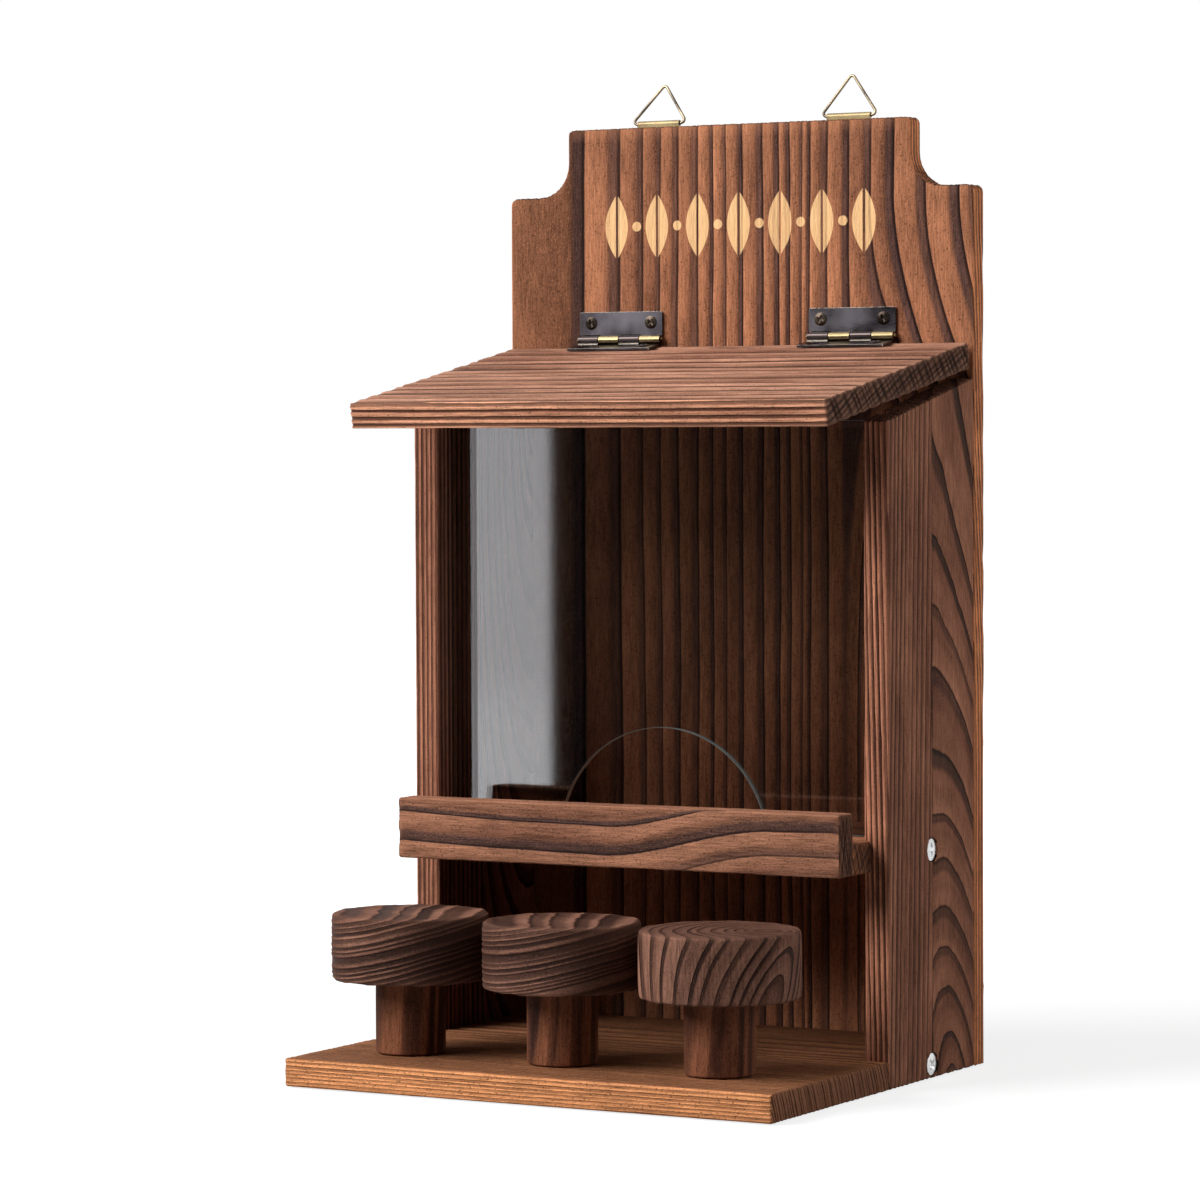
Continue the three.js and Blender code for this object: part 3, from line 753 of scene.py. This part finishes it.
back_width = 180
line_places = (-59.8, -45.4, -36.4, -29.4, -22.4, -15, -9.2, -3.9, 2.6, 10.7,
               16.8, 20.9, 25.4, 28.5, 35.5, 43.7, 52, 60.5, 72.5, 85)
back_log = board_log(
    "back_board", z_axis, x_axis, to_front, heart=(back_width / 2, 3.7), ring=2.1, wander=1.2, band=0.34,
    edge=0.03, seed=3.0, dull=(-58.0, 0.64), line_shares=[place / back_width + 0.5 for place in line_places],
    bend=(40.0, 62.0, 60.0, 135.0, 190.0),
)
grained_board("back_board", back_log, board_wood, motif=leaf_row)

side_steps = (0.5 * mm, 1.0 * mm, 3 * mm)
straight_strip = {"heart": (62.0, -137.0), "uneven": 0.12, "wander": 0.3, "band": 0.42, "edge": 0.05}
right_way = ("right_side_panel", z_axis, y_axis, x_axis)
right_front = board_log(*right_way, lean=(0.03, 0.0), ring=1.6, seed=7.0, **straight_strip)
right_rear = board_log(
    *right_way, heart=(-0.5, -48.7), lean=(-0.13, -0.306), bow=(0.0, 0.000994), ring=6.4, uneven=0.4,
    wander=1.4, band=0.24, edge=0.04, seed=9.0,
)
right_pattern = two_logs(right_front, right_rear, joint=0.0)
grained_board("right_side_panel", right_front, side_wood, side_steps, pattern=right_pattern)

left_way = ("left_side_panel", z_axis, y_axis, to_left)
left_front = board_log(*left_way, ring=1.5, seed=12.0, **straight_strip)
left_rear = board_log(
    *left_way, heart=(30.0, -30.0), lean=(0.05, 0.2), ring=3.8, wander=1.2, edge=0.05, seed=14.0,
)
left_pattern = two_logs(left_front, left_rear, joint=-4.0)
grained_board("left_side_panel", left_front, painted_shade_left_side_wood, side_steps, pattern=left_pattern)

roof_across, roof_outward = slope_of("roof_board")
roof_log = board_log(
    "roof_board", x_axis, roof_across, roof_outward, hatch=(0.42, 0.25), heart=(260.0, -1000.0), ring=2.1,
    wander=0.7, band=0.46, edge=0.05, seed=21.0,
)
grained_board("roof_board", roof_log, roof_wood, (0.45 * mm, 0.45 * mm, 4 * mm), depth=0.35 * mm)

base_log = board_log(
    "base_board", x_axis, y_axis, z_axis, heart=(60.0, -260.0), ring=1.12, uneven=0.2, wander=0.35,
    band=0.5, edge=0.14, seed=31.0,
)
grained_board("base_board", base_log, base_wood, depth=0.16 * mm)

shelf_log = board_log("feed_shelf", x_axis, y_axis, z_axis, heart=(30.0, -60.0), ring=2.6, seed=37.0)
grained_board("feed_shelf", shelf_log, board_wood)

rail_log = board_log(
    "front_rail", x_axis, z_axis, to_front, hatch=(0.2, 0.9), heart=(43.0, -153.8), lean=(-0.02, 0.0),
    bow=(0.0002, 0.0), sway=(-4.0, 58.0, 10.5), ring=2.56, uneven=0.06, wander=0.4, band=0.34, edge=0.04,
    seed=41.0,
)
grained_board("front_rail", rail_log, rail_wood, (0.4 * mm, 0.4 * mm, 3 * mm))

# %% [markdown]
# ## The stools
# Seats and legs were cut from round stock. They are turned shapes, so a profile is swung
# round an axis in code with points close enough for the furrows. The grain of two seats lies
# flat, as in a plank, and the right one is a slice across a thick branch.


# %% Turned pieces
def turned_mesh(name, profile, sides, centre):
    """Swings a profile of (radius, height) points round the vertical through a centre."""
    points, faces = [], []
    for row, (radius, height) in enumerate(profile):
        start, under = row * sides, (row - 1) * sides
        for side in range(sides):
            angle = 2 * math.pi * side / sides
            points.append(centre + Vector((radius * math.cos(angle), radius * math.sin(angle), height)))
            following = (side + 1) % sides
            if row:
                faces.append((under + side, under + following, start + following, start + side))
    return reworked(new_mesh(name, points, [], faces), merge_doubles, turn_outwards)


def block_profile(radius, height, ease, step):
    """Up the outside of a round block, with rounded rims and close rings on both ends."""
    ends = np.linspace(0, radius - ease, max(2, int((radius - ease) / step)))
    corner = np.linspace(0, math.pi / 2, 5)
    rows = np.linspace(ease, height - ease, int((height - 2 * ease) / step))
    flat = radius - ease
    profile = [(reach, 0.0) for reach in ends[:-1]]
    profile += [(flat + ease * math.sin(turn), ease - ease * math.cos(turn)) for turn in corner]
    profile += [(radius, level) for level in rows[1:-1]]
    profile += [(flat + ease * math.cos(turn), height - ease + ease * math.sin(turn)) for turn in corner]
    profile += [(reach, height) for reach in ends[::-1][1:]]
    return profile


def round_block(node, log, wood, ease, sides, step=0.7 * mm, depth=0.3 * mm, wear=0.7 * mm):
    low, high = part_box(node)
    radius, height = (high.x - low.x) / 2, high.z - low.z
    centre = Vector(((low.x + high.x) / 2, (low.y + high.y) / 2, low.z))
    mesh = turned_mesh(node, block_profile(radius, height, ease, step), sides, centre)
    mark_grain(mesh, log)
    x, y, z = (rows_of(mesh.vertices, "co") - np.array(centre)).T
    to_rim = np.hypot(radius - np.hypot(x, y), np.minimum(z, height - z))
    mark_wear_and_highlight(mesh, to_rim, 1.6 * mm)
    pattern = one_log(log)
    material = wood_material(node + "_charred", pattern, wood, log.seed)
    furrowed(node, mesh, pattern, material, depth, wear)


def turned(vector, axis, degrees):
    return tuple(Matrix.Rotation(math.radians(degrees), 3, axis) @ Vector(vector))


seat_ease, seat_sides, leg_ease, leg_sides = 1.1 * mm, 180, 0.8 * mm, 72
seat_roll = 3.5
rolled_across, rolled_outward = turned(y_axis, "X", seat_roll), turned(z_axis, "X", seat_roll)
for hand, tilt, seed in (("left", -11.5, 51.0), ("middle", -10.0, 57.0)):
    seat = "stool_seat_" + hand
    seat_axes = [turned(way, "Y", tilt) for way in (x_axis, rolled_across, rolled_outward)]
    seat_log = Log(
        middle_of(seat), *seat_axes, heart=(10.0, -400.0), ring=2.0, uneven=0.8, wander=0.8, band=0.62,
        edge=0.2, seed=seed,
    )
    round_block(seat, seat_log, seat_wood, seat_ease, seat_sides, step=0.5 * mm, depth=0.28 * mm)

seat = "stool_seat_right"
seat_log = Log(
    middle_of(seat), z_axis, turned(x_axis, "Z", 29), turned(to_front, "Z", 29), heart=(15.0, 13.9),
    lean=(0.0, -0.6), ring=3.75, uneven=0.5, wander=0.9, seed=63.0,
)
round_block(seat, seat_log, seat_wood, seat_ease, seat_sides, step=0.5 * mm, depth=0.25 * mm)

for hand, seed in (("left", 71.0), ("middle", 73.0), ("right", 79.0)):
    leg = "stool_leg_" + hand
    leg_log = Log(
        middle_of(leg), z_axis, x_axis, to_front, heart=(22.0, -14.0), lean=(0.08, 0.0), ring=6.5,
        wander=3.0, band=0.5, edge=0.35, seed=seed,
    )
    round_block(leg, leg_log, leg_wood, leg_ease, leg_sides, depth=0.07 * mm, wear=0.3 * mm)

# %% [markdown]
# ## Metal and the clear sheet
# The hinge leaves are steel with a dark antique plating that has rubbed through to grey along
# the edges. The knuckles of the wall leaf get a paler golden colour, a painted reflection. The
# worn places are attributes of the mesh, so they sit on real corners. The screws in the boards
# are bright zinc, and the rings are thin plated wire.


# %% Metal materials
def metal_material(name, light, dark, roughness, worn=None, barrel_colour=None):
    material, tree = new_material(name)
    drawn_out = (300.0, 2500.0, 2500.0)
    stretched = tree.vector_math("MULTIPLY", tree.place(), drawn_out)
    cloud, scratch = tree.noise(tree.place(), 90.0, 2.0), tree.noise(stretched, 1.0, 2.0)
    colour = tree.mix(cloud.step_up(0.3, 0.7), paint(*dark), paint(*light))
    # The barrel colour goes on the knuckles; on the wall leaf it is a paler gold, a painted reflection.
    if barrel_colour:
        share = tree.mark("barrel") * (scratch.step_up(0.2, 0.45) * 0.5 + 0.5)
        colour = tree.mix(share, colour, paint(*barrel_colour))
    if worn:
        colour = tree.mix(tree.mark("edge") * (cloud * 0.6 + 0.4), colour, paint(*worn))
    roughness = (scratch - 0.5) * 0.16 + (cloud - 0.5) * 0.2 + roughness
    normal = tree.bump(cloud * 0.3 + scratch * 0.25, 0.2, 0.04 * mm)
    sockets = {"Base Color": colour, "Metallic": 1.0, "Roughness": roughness, "Normal": normal}
    return finish_material(material, tree, sockets)


antique = ((94, 90, 94), (54, 50, 53), 0.3, (196, 186, 170))
plating = metal_material("antique_plating", *antique, barrel_colour=(64, 56, 54))
# The wall leaf's plating: its knuckles painted a paler gold, a painted reflection.
worn_plating_glinting_knuckles = metal_material("worn_plating_glinting_knuckles", *antique, barrel_colour=(122, 108, 78))
screw_plating = metal_material("screw_plating", (70, 60, 52), (36, 30, 26), 0.3)
pin_brass = metal_material("pin_brass", (140, 122, 84), (84, 70, 46), 0.36)
wire_plating = metal_material("ring_wire", (140, 126, 104), (60, 52, 44), 0.22)
strap_plating = metal_material("strap_brass", (132, 116, 86), (88, 76, 56), 0.38)
zinc = metal_material("bright_zinc", (222, 222, 222), (170, 172, 176), 0.24)
print("metals for hinges, pins, rings, straps and screws")


# %% Window sheet
def clear_material(name):
    """A thin clear sheet: it mirrors a little, more at a low angle, and lets the rest through."""
    material, tree = new_material(name)
    clear = tree.node("ShaderNodeBsdfTransparent", {"Color": (0.95, 0.96, 0.96, 1.0)}, "BSDF")
    mirror = {"Color": (1.0, 1.0, 1.0, 1.0), "Roughness": 0.04}
    gloss = tree.node("ShaderNodeBsdfGlossy", mirror, "BSDF")
    facing = tree.node("ShaderNodeFresnel", {"IOR": 1.49})
    tree.show(tree.node("ShaderNodeMixShader", {0: facing, 1: clear, 2: gloss}))
    return material


def cut_edge_material(name):
    material, tree = new_material(name)
    saw = tree.noise(tree.place(), 900.0, 1.0)
    colour = tree.mix(saw, paint(112, 122, 120), paint(168, 178, 174))
    return finish_material(material, tree, {"Base Color": colour, "Roughness": saw * 0.2 + 0.25})


def window_sheet():
    """The flat faces stay clear and the cut edges look pale, as they do on a real sheet."""
    mesh = mesh_from_triangles("window_sheet", triangles_of("window_panel"))
    mesh.materials.append(clear_material("clear_sheet"))
    mesh.materials.append(cut_edge_material("cut_sheet_edge"))
    for face in mesh.polygons:
        looks_forward = abs(face.normal.y) > 0.9
        face.material_index = 0 if looks_forward else 1
    finished(add_object("window_sheet", mesh), ["window_panel"])


window_sheet()

# %% [markdown]
# ## Hinges and straps
# Stamped sheet has tiny rounded edges that catch the light. A copy of each CAD solid gets a
# bevel, and the bevel's own faces are marked as the worn ones. Faces round the pin are marked
# as barrel, because the barrel colour, a painted reflection on the wall leaf, goes only there.


# %% Stamped pieces
def eased(node, ending, width, material, outward=z_axis, pin=None):
    """A node with rounded edges; faces within reach of the pin's line are marked as barrel."""
    name = f"{node}_{ending}"
    piece = add_object(name, mesh_from_triangles(name, triangles_of(node)))
    modifier = piece.modifiers.new("round", "BEVEL")
    modifier.width = width
    modifier.segments = 2
    modifier.limit_method = "ANGLE"
    modifier.angle_limit = math.radians(40)
    modifier.harden_normals = True
    result = evaluated_mesh(piece)
    piece.modifiers.clear()
    piece.data = result
    result.materials.clear()
    result.materials.append(material)
    side, up = Vector(x_axis), Vector(outward)
    directions = (side, up, side.cross(up))
    worn, barrel = [], []
    for face in result.polygons:
        to_pin = math.hypot(face.center.y - pin[1], face.center.z - pin[2]) if pin else math.inf
        squareness = max(abs(face.normal.dot(direction)) for direction in directions)
        barrel.append(to_pin < barrel_reach)
        worn.append(squareness < 0.98 and not barrel[-1])
    mark(result, "edge", "FACE", worn)
    mark(result, "barrel", "FACE", barrel)
    finished(piece, [node])


barrel_reach = 1.55 * mm  # just over the knuckles' radius
pin_line = tuple(joint_place("roof_hinge"))
for hand in ("left", "right"):
    hinge, hanger = f"hinge_{hand}", f"hanger_{hand}"
    eased(hinge + "_wall_leaf", "plated", 0.12 * mm, worn_plating_glinting_knuckles, pin=pin_line)
    eased(hinge + "_roof_leaf", "plated", 0.12 * mm, plating, roof_outward, pin_line)
    eased(hinge + "_pin", "drawn", 0.15 * mm, pin_brass)
    eased(hanger + "_strap", "plated", 0.08 * mm, strap_plating)

# %% [markdown]
# ## Screws
# There are two heads, flat and domed, each used many times. The head is drawn once: a square
# grid squeezed into a circle, with the cross pressed in as heights, then a rim, a cone and a
# shank. A geometry tree sets it on points that were measured from the CAD screws, and turns
# each by its own angle, since no one stops a screwdriver at the same place twice.


# %% Draw a screw
def screw_mesh(name, radius, dome, rim, cone, shank, length, arm, arm_half, recess):
    """A cross-head screw of head radius `radius`, facing +Z with its highest ring at 0."""
    half_lines = [0.0, arm_half * 0.75, arm_half, arm_half * 1.25, arm * 0.6, arm * 0.94, arm * 1.06]
    half_lines += [0.85, 0.96, 1.0]
    lines = [-value for value in half_lines[:0:-1]] + half_lines
    points = []
    for v in lines:
        for u in lines:
            x, y = u * math.sqrt(1 - v * v / 2), v * math.sqrt(1 - u * u / 2)
            crown = dome * (1 - min(1.0, x * x + y * y)) - dome
            inside = min(abs(u), abs(v)) <= arm_half and max(abs(u), abs(v)) <= arm
            reach = max(abs(u), abs(v)) / arm
            sunk = recess * (1 - 0.7 * reach) if inside else 0.0
            points.append((x * radius, y * radius, crown - sunk))
    grid = np.arange(len(points)).reshape(len(lines), len(lines))
    quads = np.stack([grid[:-1, :-1], grid[:-1, 1:], grid[1:, 1:], grid[1:, :-1]], axis=-1)
    faces = quads.reshape(-1, 4).tolist()
    border = np.concatenate([grid[0], grid[1:, -1], grid[-1, -2::-1], grid[-2:0:-1, 0]]).tolist()
    tip = 0.05 * mm
    for ring_radius, depth in ((radius, rim), (shank, rim + cone), (shank, length * 0.85), (tip, length)):
        following = []
        for x, y, _ in [points[corner] for corner in border]:
            reach = math.hypot(x, y)
            following.append(len(points))
            points.append((x / reach * ring_radius, y / reach * ring_radius, -dome - depth))
        for index in range(len(border)):
            after = (index + 1) % len(border)
            faces.append((border[after], border[index], following[index], following[after]))
        border = following
    faces.append(tuple(reversed(border)))
    mesh = reworked(new_mesh(name, points, [], faces), turn_outwards)
    mesh.shade_smooth()
    mesh.set_sharp_from_angle(angle=math.radians(30))
    return mesh


def screws_on_points():
    tree = GeometryTree("screws on points")
    geometry, pattern, seed, material = tree.takes(
        Geometry="Geometry", Screw="Object", Turn_seed="Int", Material="Material")
    facing = tree.mark("facing", "FLOAT_VECTOR")
    quarter = {2: 0.0, 3: 1.57, 8: seed}
    angle = tree.node("FunctionNodeRandomValue", quarter, output=1, data_type="FLOAT")
    upright = tree.node("FunctionNodeAlignRotationToVector", {"Vector": facing}, axis="Z")
    spin = tree.node("FunctionNodeAxisAngleToRotation", {"Axis": (0, 0, 1), "Angle": angle})
    settled = tree.node("FunctionNodeRotateRotation", [upright, spin], rotation_space="LOCAL")
    as_one = {"Object": pattern, "As Instance": True}
    drawn = tree.node("GeometryNodeObjectInfo", as_one, "Geometry")
    points = tree.node("GeometryNodeMeshToPoints", {"Mesh": geometry})
    placing = {"Points": points, "Instance": drawn, "Rotation": settled}
    tree.end(tree.node("GeometryNodeInstanceOnPoints", placing), material)
    return tree


def screw_place(node, facing):
    """The middle of a CAD screw's head, at its highest, and its radius and length."""
    out = Vector(facing).normalized()
    one = out.orthogonal().normalized()
    two = out.cross(one)
    corners = [Vector(vertex.co) for vertex in nodes[node].data.vertices]
    spans = [[corner.dot(direction) for corner in corners] for direction in (one, two, out)]
    middle = [(max(span) + min(span)) / 2 for span in spans[:2]]
    place = one * middle[0] + two * middle[1] + out * max(spans[2])
    return place, (max(spans[0]) - min(spans[0])) / 2, max(spans[2]) - min(spans[2])


def screws_facing(**ways):
    """The screws whose node names hold a word, each with the way its head looks."""
    screws = [node for node in nodes if "screw" in node]
    return {node: way for node in screws for word, way in ways.items() if word in node}


def drive_screws(name, facings, drawing, seed, material):
    places = [screw_place(node, facing) for node, facing in facings.items()]
    _, radius, length = places[0]
    drawn = name + "_pattern"
    pattern = bpy.data.objects.new(drawn, screw_mesh(drawn, radius, length=length, **drawing))
    points = new_mesh(name + "_points", [place for place, _, _ in places])
    looks = [value for facing in facings.values() for value in facing]
    points.attributes.new("facing", "FLOAT_VECTOR", "POINT").data.foreach_set("vector", looks)
    values = {"Screw": pattern, "Turn seed": seed, "Material": material}
    piece = grown(name, points, screw_tree, values)
    bpy.data.objects.remove(pattern)
    finished(piece, list(facings))


screw_tree = screws_on_points()
flat_head = {"dome": 0.3 * mm, "rim": 0.15 * mm, "cone": 2.2 * mm, "shank": 1.7 * mm}
flat_head |= {"arm": 0.6, "arm_half": 0.14, "recess": 1.3 * mm}
domed_head = {"dome": 0.45 * mm, "rim": 0.18 * mm, "cone": 0.02 * mm, "shank": 1.0 * mm}
domed_head |= {"arm": 0.62, "arm_half": 0.16, "recess": 0.55 * mm}
in_boards = screws_facing(side_left=to_left, side_right=x_axis, back=y_axis)
in_stools = screws_facing(stool=to_floor)
in_walls, in_roof = screws_facing(wall=to_front), screws_facing(roof=roof_outward)
in_straps = screws_facing(hanger=y_axis)
drive_screws("board_screws", in_boards, flat_head, 5, zinc)
drive_screws("stool_screws", in_stools, flat_head, 8, zinc)
drive_screws("wall_leaf_screws", in_walls, domed_head, 2, screw_plating)
drive_screws("roof_leaf_screws", in_roof, domed_head, 3, screw_plating)
drive_screws("strap_screws", in_straps, domed_head, 4, strap_plating)

# %% [markdown]
# ## Hanging rings
# Each ring is one piece of wire bent to a triangle, its ends meeting halfway up the right leg.
# A geometry tree bends a plain line of five points and gives it the wire's thickness, so the
# bends stay round at any size.


# %% Rings
def wire_tree():
    tree = GeometryTree("bent wire")
    geometry, radius, bend, material = tree.takes(
        Geometry="Geometry", Wire_radius="Float", Bend_radius="Float", Material="Material")
    line = tree.node("GeometryNodeMeshToCurve", {"Mesh": geometry})
    rounding = {"Curve": line, "Radius": bend, "Count": 8}
    bent = tree.node("GeometryNodeFilletCurve", rounding, mode="POLY")
    section = tree.node("GeometryNodeCurvePrimitiveCircle", {"Resolution": 20, "Radius": radius})
    swept = {"Curve": bent, "Profile Curve": section, "Fill Caps": True}
    tree.end(tree.smooth(tree.node("GeometryNodeCurveToMesh", swept)), material)
    return tree


bent_wire = wire_tree()
half_base, ring_height, wire_radius, end_gap = 10.95 * mm, 14.75 * mm, 0.5 * mm, 0.4 * mm
values = {"Wire radius": wire_radius, "Bend radius": 1.15 * mm, "Material": wire_plating}
for hand, lean in (("left", 19), ("right", 10)):
    apex = Vector((0, 0, ring_height))
    foot, other_foot = Vector((-half_base, 0, 0)), Vector((half_base, 0, 0))
    halfway, half_gap = (apex + other_foot) / 2, (apex - other_foot).normalized() * (end_gap / 2)
    corners = [halfway + half_gap, apex, foot, other_foot, halfway - half_gap]
    axis = Matrix.Translation(joint_place(f"{hand}_ring_swing"))
    placing = axis @ Matrix.Rotation(math.radians(-lean), 4, "X")
    places = [placing @ corner for corner in corners]
    line = new_mesh("ring_line", places, [(0, 1), (1, 2), (2, 3), (3, 4)])
    wire = grown(f"hanger_{hand}_ring_wire", line, bent_wire, values)
    finished(wire, [f"hanger_{hand}_ring"])

# %% [markdown]
# ## Camera, light and floor
# The photograph was taken from the right with a long lens, nearly level. One large soft box
# stands at the front left, a small one hangs above and a third fills in from the right. A
# narrow strip shows in the clear sheet as a grey veil, and a dark card beside it keeps the
# rest of the sheet clear. The world adds a little fill, and shows as plain white.


# %% Camera
camera_place = Vector((737.264, -1326.373, 212.459)) * mm
camera_yaw, camera_pitch, camera_roll = math.radians(29.47), math.radians(2.04), math.radians(-0.245)
camera = add_object("camera", bpy.data.cameras.new("camera"))
camera.data.sensor_width = 36.0
camera.data.lens = 137.62
camera.data.clip_start = 0.05
camera.data.clip_end = 50.0
turn = Matrix.Rotation(camera_yaw, 4, "Z") @ Matrix.Rotation(math.pi / 2 - camera_pitch, 4, "X")
camera.matrix_world = Matrix.Translation(camera_place) @ turn @ Matrix.Rotation(camera_roll, 4, "Z")
bpy.context.scene.camera = camera
look = camera.matrix_world.to_3x3() @ Vector(to_floor)
print("camera looks along", tuple(round(value, 3) for value in look))


# %% Lights
def soft_box(name, place, target, width, height, radiance):
    light = bpy.data.lights.new(name, "AREA")
    light.shape = "RECTANGLE"
    light.size = width
    light.size_y = height
    light.energy = radiance * width * height * math.pi
    lamp = add_object(name, light)
    lamp.location = place
    lamp.rotation_euler = (Vector(target) - Vector(place)).to_track_quat("-Z", "Y").to_euler()
    return lamp


def far_place(azimuth, elevation, distance):
    """A place seen from the object; azimuth 0 is in front of it and turns to its right."""
    turn, rise = math.radians(azimuth), math.radians(elevation)
    flat = distance * math.cos(rise)
    return (flat * math.sin(turn), -flat * math.cos(turn), distance * math.sin(rise) + aim[2])


aim = (0.0, 0.0, 0.16)  # the middle of the box
soft_box("key_box", far_place(-46, 36, 2.2), aim, width=1.5, height=1.5, radiance=10.8)
soft_box("top_box", far_place(-20, 80, 1.3), aim, width=0.7, height=0.7, radiance=0.8)
soft_box("right_fill", far_place(104, 24, 1.5), aim, width=0.8, height=1.2, radiance=2.6)

# The camera's line of sight, mirrored in the sheet, meets the strip's edge where the veil ends.
mirror_way = Vector((-0.502, -0.865, 0.0))
sideways = Vector((-0.865, 0.502, 0.0))
strip_edge = Vector((-0.3448, -0.499, 0.0))
strip_width, strip_height, card_width = 0.1, 0.34, 0.3
strip_middle = strip_edge + sideways * (strip_width / 2) + Vector((0, 0, strip_height / 2))
strip_target = strip_middle - mirror_way
veil = soft_box("veil_strip", strip_middle, strip_target, strip_width, strip_height, radiance=2.15)
veil.data.color = (0.97, 0.95, 1.0)
veil.visible_diffuse = False
print("three soft boxes and the strip of the veil")


# %% World and floor
def shown_white(tree):
    """1 for rays that see the background straight, in a mirror or through the clear sheet."""
    paths = tree.node("ShaderNodeLightPath", output="Is Camera Ray")
    glossy = Wire(tree, paths.socket.node.outputs["Is Glossy Ray"])
    through = Wire(tree, paths.socket.node.outputs["Is Transmission Ray"])
    return (paths + glossy + through).math("MINIMUM", 1.0)


world = bpy.data.worlds.new("studio")
bpy.context.scene.world = world
world.use_nodes = True
world.node_tree.nodes.clear()
sky = Tree(world.node_tree)
fill, white = (
    sky.node("ShaderNodeBackground", {"Color": (1, 1, 1, 1), "Strength": strength}, "Background")
    for strength in (0.04, 1.0)
)
both = sky.node("ShaderNodeMixShader", {0: shown_white(sky), 1: fill, 2: white})
sky.show(both, "ShaderNodeOutputWorld")


def stage_plane(name, corners, material):
    mesh = new_mesh(name, corners, [], [(0, 1, 2, 3)])
    mesh.materials.append(material)
    plane = add_object(name, mesh)
    return plane


floor_material, floor_tree = new_material("pale_floor")
pale = floor_tree.node("ShaderNodeBsdfDiffuse", {"Color": (0.3, 0.3, 0.3, 1)}, "BSDF")
away = floor_tree.vector_math("LENGTH", floor_tree.place(), output="Value")
brightness = away.step_up(0.2, 0.8) * 0.25 + 0.8
glow = floor_tree.node("ShaderNodeEmission", {"Strength": brightness}, "Emission")
lit = floor_tree.node("ShaderNodeAddShader", [pale, glow])
floor_seen = {0: shown_white(floor_tree), 1: pale, 2: lit}
floor_tree.show(floor_tree.node("ShaderNodeMixShader", floor_seen))
reach, below = 8.0, -0.4 * mm
corners = [(x * reach, y * reach, below) for x, y in ((-1, -1), (1, -1), (1, 1), (-1, 1))]
stage_plane("floor", corners, floor_material)

card_material, card_tree = new_material("dark_card")
felt = card_tree.node("ShaderNodeBsdfDiffuse", {"Color": (0.012, 0.012, 0.013, 1.0)}, "BSDF")
card_tree.show(felt)
card_end, card_top = strip_edge - sideways * card_width, Vector((0, 0, strip_height))
card_corners = [strip_edge, card_end, card_end + card_top, strip_edge + card_top]
card = stage_plane("dark_card", card_corners, card_material)
for seen_by in ("visible_camera", "visible_diffuse", "visible_shadow"):
    setattr(card, seen_by, False)

bpy.context.scene.view_settings.view_transform = "Standard"
print("studio is lit")
